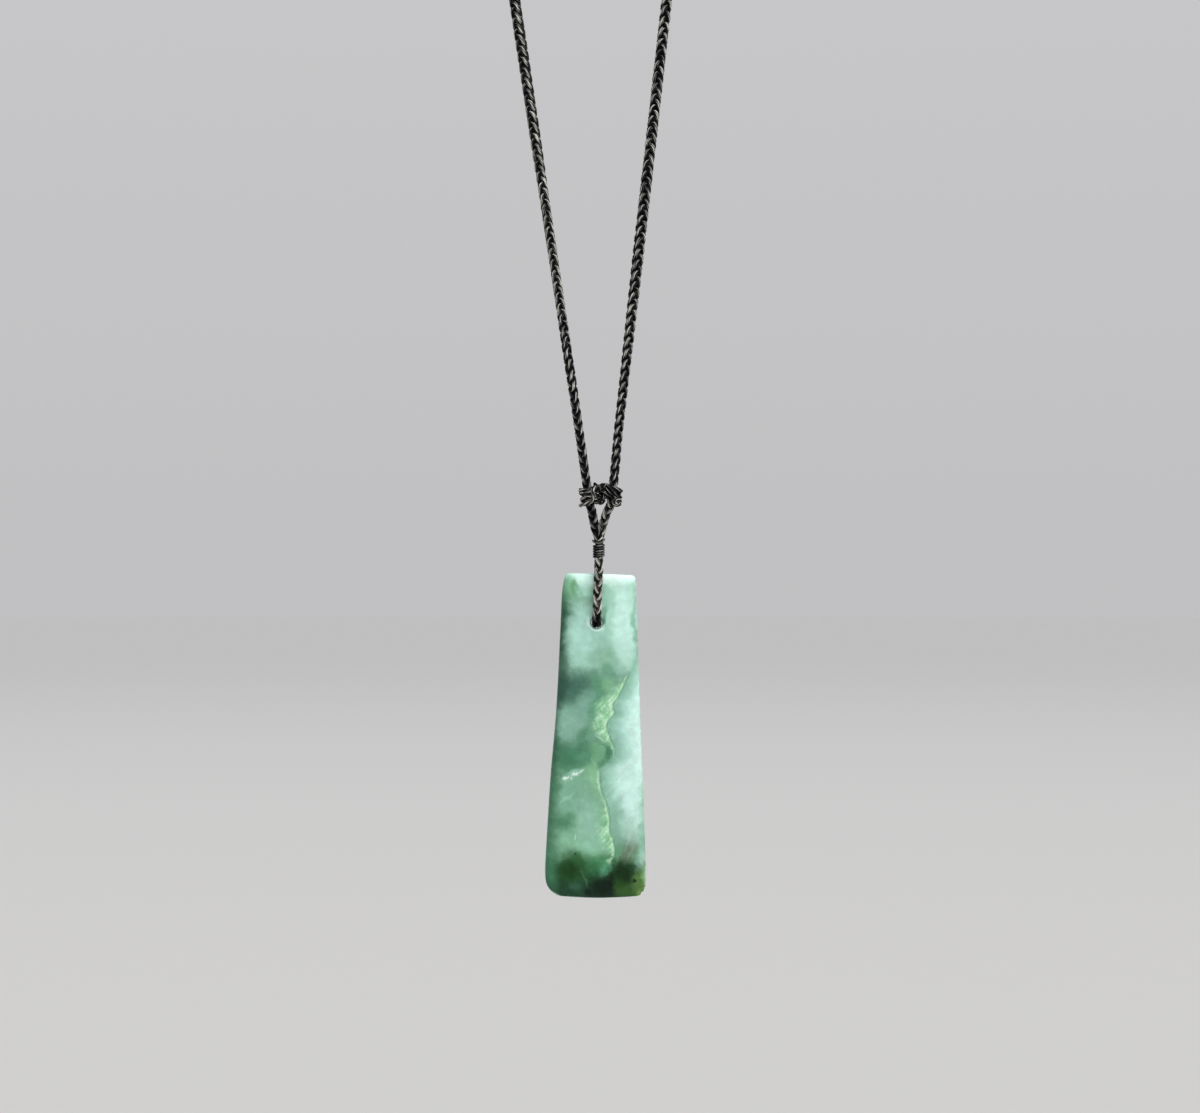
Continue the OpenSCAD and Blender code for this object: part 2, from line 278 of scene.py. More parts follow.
# Each patch of the stone is an ellipsoid, centred near the front face, that fades into
# what is round it:
# [right, up, half width, half height, turn in degrees, soft edge as a share,
#  colour, strength]
STONE_PATCHES = [
    # the top: a pale band of painted highlight along the top edge, mint left of the cord, and a green
    # left corner with its stripe
    (3.8, 10.4, 5.0, 1.9, 2, 0.8, "dcf7ec", 0.9),
    (-3.0, 10.3, 3.4, 1.7, 0, 0.9, "d2f4e8", 0.9),
    (-6.6, 8.0, 2.4, 3.4, 0, 1.1, "8cc49e", 0.9),
    (-4.5, 8.0, 0.85, 2.4, -4, 1.0, "6ba377", 0.88),
    (-3.0, 7.4, 1.5, 2.0, 0, 1.0, "acdcc6", 0.7),
    (-3.0, 4.9, 2.0, 1.3, 0, 1.1, "84b096", 0.8),
    # the dark left edge and the teal below it: the stone's own green, darkened by painted shade where
    # its rounded side turns from the light, as are the narrow patches at its far left lower down
    (-8.6, 2.4, 2.7, 7.4, 0, 1.9, "336845", 0.9),
    (-9.4, -4.2, 2.7, 9.5, 0, 1.8, "144b2a", 0.95),
    # the pale grey-mint middle, and the bright right column with its pale edge, partly a painted
    # highlight of the light from the right
    (-3.7, -2.6, 3.1, 6.4, 4, 1.2, "b1decf", 0.92),
    (-1.8, -8.8, 2.4, 2.2, 20, 1.2, "a8d4c4", 0.7),
    (6.2, 0.5, 2.5, 9.0, -3, 1.1, "cef3e7", 0.9),
    (3.2, 4.0, 1.3, 5.0, 0, 1.1, "a9dac4", 0.6),
    (1.9, 1.8, 0.8, 2.0, 0, 0.9, "6ea888", 0.6),
    (9.35, -2.8, 0.7, 9.2, -3, 1.8, "74a48c", 0.7),
    (1.2, -8.2, 3.2, 2.2, -24, 1.2, "8ab99d", 0.8),
    (2.6, -11.4, 1.6, 1.8, 0, 1.2, "6ba083", 0.75),
    (5.6, -10.8, 1.6, 1.2, -20, 1.2, "9ccbb4", 0.5),
    # the dark teal patch on the left, with a pale spot in it
    (-5.6, -15.0, 4.2, 3.4, -16, 1.4, "456f5f", 0.95),
    (-8.8, -15.0, 1.8, 5.0, 0, 1.4, "2f5346", 0.9),
    (-2.2, -18.8, 2.2, 2.4, 20, 1.2, "7dab98", 0.85),
    (-5.7, -23.0, 2.6, 3.4, -12, 1.3, "8dbaa5", 0.85),
    (-9.9, -22.0, 1.6, 7.0, 0, 1.7, "3a6252", 0.9),
    # the darker streak along the left of the vein
    (0.2, -14.8, 1.7, 2.4, -10, 1.3, "5e9a74", 0.75),
    (-0.6, -19.4, 0.8, 3.4, 12, 1.4, "5a9672", 0.7),
    (-3.2, -25.6, 2.0, 1.2, -30, 1.3, "568e6c", 0.8),
    (2.4, -14.6, 1.3, 1.6, 20, 1.2, "86bc90", 0.6),
    # the facet where the vein is pinched, and the dark triangle beside it
    (-0.3, -29.6, 2.2, 2.4, -10, 0.45, "74aa84", 0.9),
    (-3.2, -28.2, 1.6, 1.6, 20, 1.2, "528666", 0.7),
    (2.8, -30.2, 0.9, 1.7, 0, 0.9, "478461", 0.9),
    (1.4, -32.3, 1.2, 0.8, -30, 1.0, "528d68", 0.8),
    (-1.1, -32.1, 1.3, 0.4, 30, 1.2, "9acca0", 0.5),
    (1.6, -28.2, 1.0, 0.14, 42, 0.8, "427a58", 0.6),
    # the dark green patch left of the facet
    (-6.3, -31.0, 3.5, 3.0, 8, 1.4, "488261", 0.95),
    (-10.4, -31.0, 1.8, 5.6, 0, 1.6, "34604a", 0.9),
    (-2.8, -31.2, 1.6, 1.2, 0, 1.2, "5e9676", 0.8),
    # the white flecks under it, in a pale haze
    (-5.8, -35.0, 3.0, 0.8, -24, 1.2, "a6d6be", 0.7),
    (-7.1, -35.4, 0.75, 0.26, -12, 0.6, "f0fff8", 0.9),
    (-7.9, -35.7, 0.5, 0.13, 0, 0.6, "dcf7ea", 0.8),
    (-4.9, -34.8, 0.7, 0.3, -38, 0.6, "e6fbf0", 0.85),
    (-3.7, -34.2, 0.45, 0.2, -20, 0.7, "d4f1e2", 0.75),
    (-5.9, -35.8, 0.22, 0.28, 0, 0.7, "d4f1e2", 0.7),
    (-5.5, -35.2, 0.5, 0.12, -35, 0.7, "d4f1e2", 0.7),
    # the lower left: cloudy mid green, paler towards its middle
    (-5.0, -41.0, 4.2, 4.4, 0, 1.3, "82b49a", 0.8),
    (-0.6, -35.6, 1.8, 3.4, 0, 1.2, "8fc69c", 0.85),
    (-7.0, -41.0, 2.0, 0.4, -42, 1.1, "a4d2bc", 0.5),
    (-9.4, -38.4, 1.4, 1.8, 0, 1.4, "5a9270", 0.7),
    (-1.8, -46.0, 2.6, 4.6, -8, 1.2, "98c8b0", 0.8),
    (-7.4, -45.9, 2.3, 2.0, 0, 1.3, "508a66", 0.88),
    (-7.0, -50.6, 2.6, 1.6, 0, 1.2, "8cc29e", 0.7),
    (-4.5, -49.6, 0.35, 0.9, -8, 0.8, "bde2ce", 0.7),
    (-11.6, -44.0, 2.6, 12.5, 4, 1.5, "407656", 0.92),
    (0.2, -51.2, 2.4, 1.6, 0, 1.2, "98caae", 0.8),
    # the smoke low on the right: dark green by the seam, brown-grey, with pale streaks
    (5.2, -50.0, 0.9, 4.2, 8, 1.5, "66947a", 0.8),
    (7.4, -52.4, 1.9, 3.2, 18, 1.5, "6a7e64", 0.9),
    (8.6, -50.8, 0.6, 2.4, 24, 1.3, "7b9482", 0.6),
    (6.7, -50.8, 0.3, 2.4, 16, 1.2, "8fae9c", 0.55),
    (7.7, -49.4, 0.4, 1.8, 26, 1.2, "b6d2c2", 0.55),
    (8.0, -53.2, 0.3, 1.9, 24, 1.2, "90a48e", 0.5),
    (4.6, -53.6, 0.8, 1.8, 10, 1.0, "6ba27a", 0.7),
    (10.5, -54.6, 0.9, 2.6, 4, 1.3, "aed6c4", 0.75),
    # the dark foot: olive left, deep teal middle, forest right, yellow-green corner
    (-8.4, -61.8, 4.8, 2.2, 0, 1.3, "1e462c", 0.95),
    (-5.9, -57.2, 3.6, 3.3, -14, 1.3, "1c4a1e", 0.93),
    (-5.6, -57.4, 1.6, 1.6, -20, 1.4, "143c14", 0.8),
    (-4.2, -54.6, 1.7, 1.6, 0, 1.3, "2f6638", 0.8),
    (-4.6, -61.2, 1.6, 1.0, 10, 1.4, "3c6e56", 0.6),
    (-10.9, -57.6, 1.6, 4.6, 0, 1.7, "47805e", 0.85),
    (0.9, -55.9, 2.8, 1.5, 0, 1.1, "4e8f60", 0.9),
    (-0.2, -57.2, 1.6, 1.4, 0, 1.4, "2c6a40", 0.7),
    (1.9, -56.9, 1.9, 0.7, -48, 1.6, "5fa680", 0.7),
    (3.0, -55.7, 0.5, 0.45, 0, 1.2, "b0e0b8", 0.8),
    (1.3, -61.2, 3.4, 2.9, 0, 1.2, "021c0a", 0.98),
    (3.2, -60.6, 0.9, 3.0, 4, 1.3, "00100a", 0.9),
    (-1.6, -62.4, 0.5, 0.9, 0, 1.2, "021410", 0.7),
    (6.4, -58.0, 3.0, 3.2, -20, 1.1, "082b08", 0.95),
    (6.9, -62.0, 3.0, 1.9, 0, 1.4, "3a6428", 0.9),
    (5.6, -60.2, 1.4, 1.6, 0, 1.5, "1e4a18", 0.6),
    (10.2, -60.4, 1.5, 3.0, 12, 1.3, "5a8042", 0.9),
    (11.0, -58.8, 0.5, 2.2, 0, 1.4, "90bc84", 0.6),
    (10.4, -62.7, 1.1, 0.9, 0, 1.2, "78a058", 0.75),
    (-2.4, -59.0, 0.22, 2.0, -16, 1.2, "5c9070", 0.35),
    # small specks
    (-4.7, -53.9, 0.35, 0.3, 0, 0.6, "0c1a10", 0.9),
    (9.2, -59.6, 0.45, 0.35, 40, 0.7, "0c140a", 0.9),
    # bright breaks along the vein, with a dark spot between
    (4.3, -18.6, 0.24, 1.4, 28, 0.8, "d6f4da", 0.8),
    (3.1, -18.9, 0.4, 0.7, 20, 1.0, "5a9672", 0.8),
    (3.6, -20.7, 0.8, 0.26, -30, 0.8, "def8e4", 0.8),
    (2.3, -23.6, 0.3, 1.7, 14, 1.0, "c8eed2", 0.6),
]

# Patches that lie over the seam and the pale side, in the same form
SURFACE_PATCHES = [
    (11.2, -42.0, 1.2, 4.8, -4, 1.5, "80b296", 0.75),
    (11.2, -49.0, 1.3, 3.4, -4, 1.5, "7eb096", 0.75),
    (6.2, -47.4, 3.6, 3.0, 30, 1.5, "98c2ae", 0.5),
    (4.6, -46.0, 0.9, 5.0, 8, 1.5, "84b49a", 0.5),
    (8.4, -38.6, 1.2, 5.5, 14, 1.7, "dcfcf4", 0.45),
    (9.6, -31.0, 0.6, 6.0, -2, 1.7, "dcfcf4", 0.4),
]

# Sharp ones, which no cloud bends, in the same form: painted light and shade round the hole, the pale
# edge where the vein is pinched, and painted highlights in thin lines along the worn lower edge and
# up the lower sides, where they catch the light
EDGE_PATCHES = [
    (-2.0, 0.4, 0.35, 1.0, 0, 1.4, "e6fff6", 0.6),
    (1.5, -1.6, 0.5, 0.25, -45, 1.4, "dcfaf0", 0.5),
    (1.75, 0.5, 0.35, 0.9, 0, 1.4, "2f6c49", 0.65),
    (0.9, -26.8, 1.3, 0.15, 36, 1.2, "c2ecc8", 0.5),
    (2.6, -26.6, 0.9, 0.16, -66, 1.2, "d2f4d6", 0.6),
    (3.9, -30.0, 0.12, 1.1, 6, 1.2, "b4e0c4", 0.5),
    (-9.6, -62.8, 2.0, 0.16, 28, 1.2, "9acdb0", 0.65),
    (-5.6, -63.6, 2.6, 0.13, 3, 1.2, "7cb092", 0.5),
    (5.6, -63.75, 3.4, 0.12, -1, 1.2, "8cb87c", 0.6),
    (-12.0, -58.0, 0.2, 4.0, 0, 1.4, "8cc2a6", 0.6),
    (11.3, -58.0, 0.2, 3.6, 0, 1.4, "b4e0bc", 0.6),
]

# The ground colour under the patches: [height over the hole, colour]
STONE_GROUND = [
    (11, "bfe8d8"), (7, "a6d6c0"), (-2, "a6d5c3"), (-10, "9ccab4"), (-14, "74a48c"),
    (-22, "7baa94"), (-29, "6a9b80"), (-33, "6c9e80"), (-36, "86b898"), (-44, "82b294"),
    (-51, "86b99a"), (-53.6, "7cb08e"), (-56, "2c5c34"), (-64, "1c4430"),
]

# The line where the green left side of the stone meets its pale right side:
# [height over the hole, place to the right]
SEAM = [
    (12, 12.0), (2, 11.6), (-4, 10.0), (-9, 8.6), (-13.0, 6.8), (-16.9, 5.0), (-19.9, 3.6),
    (-20.6, 4.0), (-22.4, 2.7), (-24.5, 2.2), (-25.7, 2.7), (-27.4, 3.2), (-29.0, 3.9),
    (-30.6, 3.8), (-31.8, 3.0), (-33.0, 1.6), (-34.4, 0.7), (-36.5, 0.75), (-39.8, 1.3), (-42, 2.2),
    (-45.6, 2.9), (-48.1, 2.9), (-50.3, 3.65), (-53.4, 4.1), (-55, 3.65), (-65, 2.0),
]
# The lit vein that follows the seam on its left: [height over the hole, width]
VEIN = [
    (12, 0.0), (-11.6, 0.0), (-12.6, 1.2), (-13.4, 2.0), (-16, 3.2), (-18, 4.4), (-20, 5.0),
    (-22, 4.4), (-24, 4.0), (-25.6, 3.8), (-26.8, 3.2), (-28.4, 1.8), (-30, 0.2), (-33.4, 0.0),
    (-35, 0.7), (-38, 1.0), (-42, 1.6), (-45, 2.8), (-48, 3.4), (-51, 3.4), (-53, 2.2),
    (-55, 0.5), (-57, 0.0), (-65, 0.0),
]
# A thin dark line on the seam's right and a thin bright one on its left:
# [from, to, measured to the right of the seam, colour, strength]
SEAM_LINES = [(0.0, 0.55, "4f9072", 0.55), (-0.8, 0.05, "d2f2cc", 0.62)]
# The pale side goes over into the green one within SEAM_BLEND of the seam, and ends over the
# heights of PALE_END. Its silky grain sets in over those of SILK_START.
SEAM_BLEND = (-0.7, 0.8)
PALE_END = (-53.0, -46.0)
SILK_START = (-30.0, -42.0)
SILK_LEAN = 46
SILK_SIZE = (6.0, 3.0, 0.6)
# Clouds: [how many in a millimetre, detail, roughness], and how far they bend what they cross
BROAD_CLOUDS = (0.16, 3.0, 0.55)
FINE_CLOUDS = (0.7, 6.0, 0.66)
MOTTLES = (0.55, 6.0, 0.62)
BROAD_BEND = 4.0
FINE_BEND = 1.9
SEAM_BEND = 1.1
# The pale line of painted highlight on the countersink, which is brightest up and to the left, and
# the painted shade of the dark bore
RIM_LINE_R = 1.8
RIM_LINE_W = (0.28, 0.1)
RIM_LIT_WAY = (-0.3, 0.0, -0.95)
BORE_DARK_R = (1.42, 1.22)
PATCH_DEPTH = -2.6
PATCH_HALF_T = 6.5
STONE_TOP = 12
STONE_FOOT = -65
STONE_SPAN = STONE_TOP - STONE_FOOT
SEAM_SPAN = 13


def over_height(rows):
    """A table of heights and values as a float curve's points, from foot to top."""
    return [((z - STONE_FOOT) / STONE_SPAN, 0.5 + value / SEAM_SPAN / 2)
            for z, value in reversed(rows)]


def painted(tree, colour, place, patches):
    """The colour with the patches painted on it, one over the other."""
    for right, up, half_w, half_h, turn, soft, hex_colour, strength in patches:
        near = add(tree, "ShaderNodeMapping", [
            ("Vector", place), ("Location", (right, PATCH_DEPTH, up)),
            ("Rotation", (0, math.radians(turn), 0)),
            ("Scale", (2 * half_w, 2 * PATCH_HALF_T, 2 * half_h))],
            vector_type="TEXTURE").outputs[0]
        ball = add(tree, "ShaderNodeTexGradient", [("Vector", near)],
                   gradient_type="SPHERICAL").outputs["Fac"]
        mask = add(tree, "ShaderNodeMapRange", [
            ("Value", ball), ("From Min", 0.5 - soft / 4), ("From Max", 0.5 + soft / 4),
            ("To Max", strength)], **SMOOTH).outputs[0]
        colour = add(tree, "ShaderNodeMix", [
            ("Factor", mask), (6, colour), (7, linear(hex_colour))], data_type="RGBA").outputs[2]
    return colour


def jade_material():
    """Nephrite jade, ground and hand polished: milky and a little translucent, with a soft
    gloss, cloudy greens, a lit vein along a seam, and a faint silky grain."""
    material, tree, output = new_material("nephrite_jade_polished")
    place = add(tree, "ShaderNodeTexCoord").outputs["Object"]
    in_mm = add(tree, "ShaderNodeMapping", [
        ("Vector", place), ("Scale", (1 / MM,) * 3), ("Location", tuple(-HOLE))]).outputs[0]

    # Clouds bend every patch: broad ones by a few millimetres, fine ones by half of one
    bent = in_mm
    clouds = []
    offsets = []
    for (per_mm, detail, roughness), reach in (
            (BROAD_CLOUDS, BROAD_BEND), (FINE_CLOUDS, FINE_BEND)):
        noise = add(tree, "ShaderNodeTexNoise", [
            ("Vector", in_mm), ("Scale", per_mm), ("Detail", detail), ("Roughness", roughness)])
        clouds.append(noise.outputs["Fac"])
        offsets.append(add(tree, "ShaderNodeVectorMath", [
            (0, noise.outputs["Color"]), (1, (0.5,) * 3)], operation="SUBTRACT").outputs[0])
        bent = add(tree, "ShaderNodeVectorMath", [
            (0, offsets[-1]), (1, (reach,) * 3), (2, bent)], operation="MULTIPLY_ADD").outputs[0]
    broad, fine = clouds
    # The fine ones alone make the seam ragged
    ragged = add(tree, "ShaderNodeVectorMath", [
        (0, offsets[1]), (1, (SEAM_BEND,) * 3), (2, in_mm)], operation="MULTIPLY_ADD").outputs[0]

    # Ground colour: it changes from the top of the blade to its foot, in clouds
    bent_up = add(tree, "ShaderNodeSeparateXYZ", [("Vector", bent)]).outputs["Z"]
    level = add(tree, "ShaderNodeMapRange", [
        ("Value", bent_up), ("From Min", STONE_FOOT), ("From Max", STONE_TOP)]).outputs[0]
    colour = add(tree, "ShaderNodeValToRGB", [("Fac", level)], stops=[
        ((up - STONE_FOOT) / STONE_SPAN, hex_colour)
        for up, hex_colour in reversed(STONE_GROUND)]).outputs[0]
    cloud = add(tree, "ShaderNodeMapRange", [
        ("Value", broad), *NOISE_RANGE, ("To Min", 0.82), ("To Max", 1.15)]).outputs[0]
    colour = add(tree, "ShaderNodeVectorMath", [
        (0, colour), ("Scale", cloud)], operation="SCALE").outputs[0]

    # The seam's place and the vein's width, and how far a point lies to the right of the seam
    split = add(tree, "ShaderNodeSeparateXYZ", [("Vector", ragged)])
    height = add(tree, "ShaderNodeMapRange", [
        ("Value", split.outputs["Z"]), ("From Min", STONE_FOOT), ("From Max", STONE_TOP)]).outputs[0]
    widths = []
    for rows in (SEAM, VEIN):
        curve = add(tree, "ShaderNodeFloatCurve", [("Value", height)],
                    points=over_height(rows)).outputs[0]
        widths.append(add(tree, "ShaderNodeMapRange", [
            ("Value", curve), ("To Min", -SEAM_SPAN), ("To Max", SEAM_SPAN)]).outputs[0])
    seam_x, vein_w = widths
    right_of = add(tree, "ShaderNodeMath", [
        (0, split.outputs["X"]), (1, seam_x)], operation="SUBTRACT").outputs[0]
    pale_side = add(tree, "ShaderNodeMapRange", [
        ("Value", right_of), ("From Min", SEAM_BLEND[0]), ("From Max", SEAM_BLEND[1])],
        **SMOOTH).outputs[0]

    colour = painted(tree, colour, bent, STONE_PATCHES)

    # Right of the seam the stone is pale, grey-mint by the seam and near white towards its edge, the
    # stone's own tone with a painted highlight of the light from the right, and a silky grain that
    # leans to the right below the middle
    edgewards = add(tree, "ShaderNodeMapRange", [
        ("Value", right_of), ("From Max", 6.0)]).outputs[0]
    edgewards = add(tree, "ShaderNodeMath", [
        (0, broad), (1, 0.5), (2, edgewards)], operation="MULTIPLY_ADD").outputs[0]
    silk = add(tree, "ShaderNodeValToRGB", [("Fac", edgewards)], stops=[
        (0.25, "88b7a0"), (0.52, "9dccb8"), (0.82, "c2ecdf"), (1.0, "d6f8ee")]).outputs[0]
    grain_place = add(tree, "ShaderNodeMapping", [
        ("Vector", in_mm), ("Rotation", (0, math.radians(-SILK_LEAN), 0)),
        ("Scale", SILK_SIZE)], vector_type="TEXTURE").outputs[0]
    silk_noise = add(tree, "ShaderNodeTexNoise", [
        ("Vector", grain_place), ("Scale", 1.0), ("Detail", 4.0)]).outputs["Fac"]
    grain_here = add(tree, "ShaderNodeMapRange", [
        ("Value", split.outputs["Z"]), ("From Min", SILK_START[0]), ("From Max", SILK_START[1]),
        ("To Min", 0.2), ("To Max", 1.0)], **SMOOTH).outputs[0]
    grain = add(tree, "ShaderNodeMapRange", [
        ("Value", silk_noise), ("From Min", 0.35), ("From Max", 0.65), ("To Min", -0.09),
        ("To Max", 0.08)]).outputs[0]
    grain = add(tree, "ShaderNodeMath", [(0, grain), (1, grain_here), (2, 1.0)],
                operation="MULTIPLY_ADD").outputs[0]
    silk = add(tree, "ShaderNodeVectorMath", [
        (0, silk), ("Scale", grain)], operation="SCALE").outputs[0]
    above_foot = add(tree, "ShaderNodeMapRange", [
        ("Value", split.outputs["Z"]), ("From Min", PALE_END[0]), ("From Max", PALE_END[1]),
        ("To Max", 0.85)], **SMOOTH).outputs[0]
    pale_mask = add(tree, "ShaderNodeMath", [
        (0, pale_side), (1, above_foot)], operation="MULTIPLY").outputs[0]
    colour = add(tree, "ShaderNodeMix", [
        ("Factor", pale_mask), (6, colour), (7, silk)], data_type="RGBA").outputs[2]
    colour = painted(tree, colour, bent, SURFACE_PATCHES)

    # The lit vein on the seam's left, brightest at the seam
    into = add(tree, "ShaderNodeMath", [(0, right_of), (1, vein_w)], operation="ADD").outputs[0]
    from_left = add(tree, "ShaderNodeMapRange", [
        ("Value", into), ("From Min", -0.3), ("From Max", 2.6)],
        **SMOOTH).outputs[0]
    from_right = add(tree, "ShaderNodeMapRange", [
        ("Value", right_of), ("From Min", 0.25), ("From Max", -0.15)],
        **SMOOTH).outputs[0]
    vein_mask = add(tree, "ShaderNodeMath", [
        (0, from_left), (1, from_right)], operation="MULTIPLY").outputs[0]
    silky = add(tree, "ShaderNodeMapRange", [
        ("Value", split.outputs["Z"]), ("From Min", SILK_START[0]), ("From Max", SILK_START[1]),
        ("To Min", 0.35), ("To Max", 0.55)]).outputs[0]
    streaky = add(tree, "ShaderNodeMix", [
        ("Factor", silky), (2, fine), (3, silk_noise)]).outputs[0]
    lit = add(tree, "ShaderNodeValToRGB", [("Fac", streaky)], stops=[
        (0.4, "7fbb8c"), (0.5, "9dd2a8"), (0.6, "c6eecd")]).outputs[0]
    colour = add(tree, "ShaderNodeMix", [
        ("Factor", vein_mask), (6, colour), (7, lit)], data_type="RGBA").outputs[2]

    # The lines along the seam are broken, and there are none where the vein is shut
    broken = add(tree, "ShaderNodeMapRange", [
        ("Value", fine), ("From Min", 0.34), ("From Max", 0.54)]).outputs[0]
    vein_here = add(tree, "ShaderNodeMapRange", [
        ("Value", vein_w), ("From Min", 0.1), ("From Max", 0.8)]).outputs[0]
    for low, high, hex_colour, strength in SEAM_LINES:
        middle = (low + high) / 2
        off_line = add(tree, "ShaderNodeMath", [
            (0, right_of), (1, middle)], operation="SUBTRACT").outputs[0]
        off_line = add(tree, "ShaderNodeMath", [(0, off_line)], operation="ABSOLUTE").outputs[0]
        line = add(tree, "ShaderNodeMapRange", [
            ("Value", off_line), ("From Min", (high - low) / 2), ("From Max", 0.0),
            ("To Max", strength)], **SMOOTH).outputs[0]
        for share in (broken, vein_here):
            line = add(tree, "ShaderNodeMath", [
                (0, line), (1, share)], operation="MULTIPLY").outputs[0]
        colour = add(tree, "ShaderNodeMix", [
            ("Factor", line), (6, colour), (7, linear(hex_colour))], data_type="RGBA").outputs[2]

    # The countersunk rim of the hole has a thin pale line of painted highlight where it faces up and
    # left, and the bore is darkened by painted shade
    on_face = add(tree, "ShaderNodeVectorMath", [
        (0, in_mm), (1, (1.0, 0.0, 1.0))], operation="MULTIPLY").outputs[0]
    from_hole = add(tree, "ShaderNodeVectorMath", [(0, on_face)], operation="LENGTH").outputs["Value"]
    off_rim = add(tree, "ShaderNodeMath", [(0, from_hole), (1, RIM_LINE_R)],
                  operation="SUBTRACT").outputs[0]
    off_rim = add(tree, "ShaderNodeMath", [(0, off_rim)], operation="ABSOLUTE").outputs[0]
    rim = add(tree, "ShaderNodeMapRange", [
        ("Value", off_rim), ("From Min", RIM_LINE_W[0]), ("From Max", RIM_LINE_W[1]),
        ("To Max", 0.9)], **SMOOTH).outputs[0]
    facing = add(tree, "ShaderNodeVectorMath", [
        (0, in_mm), (1, RIM_LIT_WAY)], operation="DOT_PRODUCT").outputs["Value"]
    facing = add(tree, "ShaderNodeMapRange", [
        ("Value", facing), ("From Min", -0.6), ("From Max", 0.6)]).outputs[0]
    rim = add(tree, "ShaderNodeMath", [(0, rim), (1, facing)], operation="MULTIPLY").outputs[0]
    bore = add(tree, "ShaderNodeMapRange", [
        ("Value", from_hole), ("From Min", BORE_DARK_R[0]), ("From Max", BORE_DARK_R[1]),
        ("To Max", 0.9)], **SMOOTH).outputs[0]
    for mask, hex_colour in ((rim, "daf7ec"), (bore, "12281e")):
        colour = add(tree, "ShaderNodeMix", [
            ("Factor", mask), (6, colour), (7, linear(hex_colour))], data_type="RGBA").outputs[2]
    colour = painted(tree, colour, in_mm, EDGE_PATCHES)

    # Soft mottling, a tenth either way, as the crystal felt of the stone gives. The gloss
    # goes with it.
    per_mm, detail, roughness = MOTTLES
    mottle = add(tree, "ShaderNodeTexNoise", [
        ("Vector", in_mm), ("Scale", per_mm), ("Detail", detail),
        ("Roughness", roughness)]).outputs["Fac"]
    bright, rough = (
        add(tree, "ShaderNodeMapRange", [
            ("Value", mottle), *NOISE_RANGE, ("To Min", low), ("To Max", high)]).outputs[0]
        for low, high in ((0.9, 1.09), (0.2, 0.32)))
    colour = add(tree, "ShaderNodeVectorMath", [
        (0, colour), ("Scale", bright)], operation="SCALE").outputs[0]

    bump = add(tree, "ShaderNodeBump", [
        ("Height", mottle), ("Strength", 0.06), ("Distance", 0.0002)]).outputs[0]
    shader = add(tree, "ShaderNodeBsdfPrincipled", [
        ("Base Color", colour), ("Roughness", rough), ("Normal", bump), ("IOR", 1.61),
        ("Specular IOR Level", 0.15),
        ("Subsurface Weight", 0.3), ("Subsurface Radius", (0.8, 1.0, 0.9)),
        ("Subsurface Scale", 0.0007)])
    tree.links.new(shader.outputs[0], output.inputs["Surface"])
    return material


def thread_material(name, gap, flank, crest, glint):
    """Waxed thread, twisted and pulled tight: near black, darkest in the painted shade between the
    strands, with painted highlights on their crests, broken into streaks that run along them, and a
    dull gloss."""
    material, tree, output = new_material(name)
    along = add(tree, "ShaderNodeUVMap", uv_map="run").outputs[0]
    layers = []
    for width, slim, detail, roughness in (
            (STREAK_W, STREAK_SLIM, 3.0, 0.55), (FIBRE_W, FIBRE_SLIM, 2.0, 0.5)):
        laid = add(tree, "ShaderNodeMapping", [
            ("Vector", along), ("Scale", (1 / width, slim / width, 1.0))]).outputs[0]
        layers.append(add(tree, "ShaderNodeTexNoise", [
            ("Vector", laid), ("Scale", 1.0), ("Detail", detail),
            ("Roughness", roughness)]).outputs["Fac"])
    streaks, fibres = layers
    patchy = add(tree, "ShaderNodeTexNoise", [
        ("Vector", along), ("Scale", WAX_PATCHES), ("Detail", 3.0)]).outputs["Fac"]
    tone = add(tree, "ShaderNodeAttribute", attribute_name="crest").outputs["Fac"]
    for noise, share in ((streaks, 1.1), (fibres, 0.3), (patchy, 0.6)):
        off = add(tree, "ShaderNodeMath", [(0, noise), (1, 0.5)], operation="SUBTRACT").outputs[0]
        tone = add(tree, "ShaderNodeMath", [(0, off), (1, share), (2, tone)],
                   operation="MULTIPLY_ADD").outputs[0]
    # Near black thread in painted shade at the low end of the tone, painted highlights and glints at
    # its high end
    colour = add(tree, "ShaderNodeValToRGB", [("Fac", tone)], stops=[
        (0.1, gap), (0.42, flank), (0.68, crest), (0.9, glint)]).outputs[0]
    bump = add(tree, "ShaderNodeBump", [
        ("Height", fibres), ("Strength", 0.5), ("Distance", 0.00005)]).outputs[0]
    rough = add(tree, "ShaderNodeMapRange", [
        ("Value", streaks), *NOISE_RANGE, ("To Min", 0.6), ("To Max", 0.4)]).outputs[0]
    shader = add(tree, "ShaderNodeBsdfPrincipled", [
        ("Base Color", colour), ("Roughness", rough), ("Normal", bump), ("IOR", 1.44),
        ("Specular IOR Level", 0.08), ("Sheen Weight", 0.01), ("Sheen Roughness", 0.5)])
    tree.links.new(shader.outputs[0], output.inputs["Surface"])
    return material


# The cord
CURVE_STEPS = 40


def leg_point(lean, z):
    """The middle of a leg at a height."""
    return (CROSSING[0] + math.tan(math.radians(lean)) * (z - CROSSING[1]), 0.0, z)


def half_route(arm, depth_sign, lean):
    """Points of one half of the cord: out of the hole, through the whipping, up its leg and
    round the loop to the middle of the join at the back of the neck."""
    side = math.copysign(1, lean)
    leg_top = LOOP_CENTRE[2] - LOOP_R * math.sin(math.radians(abs(lean)))
    route = [(x, depth_sign * y, z) for x, y, z in BIGHT_ROUTE + arm]
    for i in range(LEG_RINGS):
        route.append(leg_point(lean, LEG_FOOT + (leg_top - LEG_FOOT) * i / LEG_RINGS))
    for i in range(TOP_RINGS + 1):
        turn = math.radians((90 + abs(lean)) * i / TOP_RINGS - abs(lean))
        route.append(LOOP_CENTRE + LOOP_R * np.array([side * math.cos(turn), 0, math.sin(turn)]))
    return [np.array(p, float) for p in route]


def distances(line):
    """How far along a line each of its places lies."""
    return np.concatenate([[0], np.cumsum(np.linalg.norm(np.diff(line, axis=0), axis=1))])


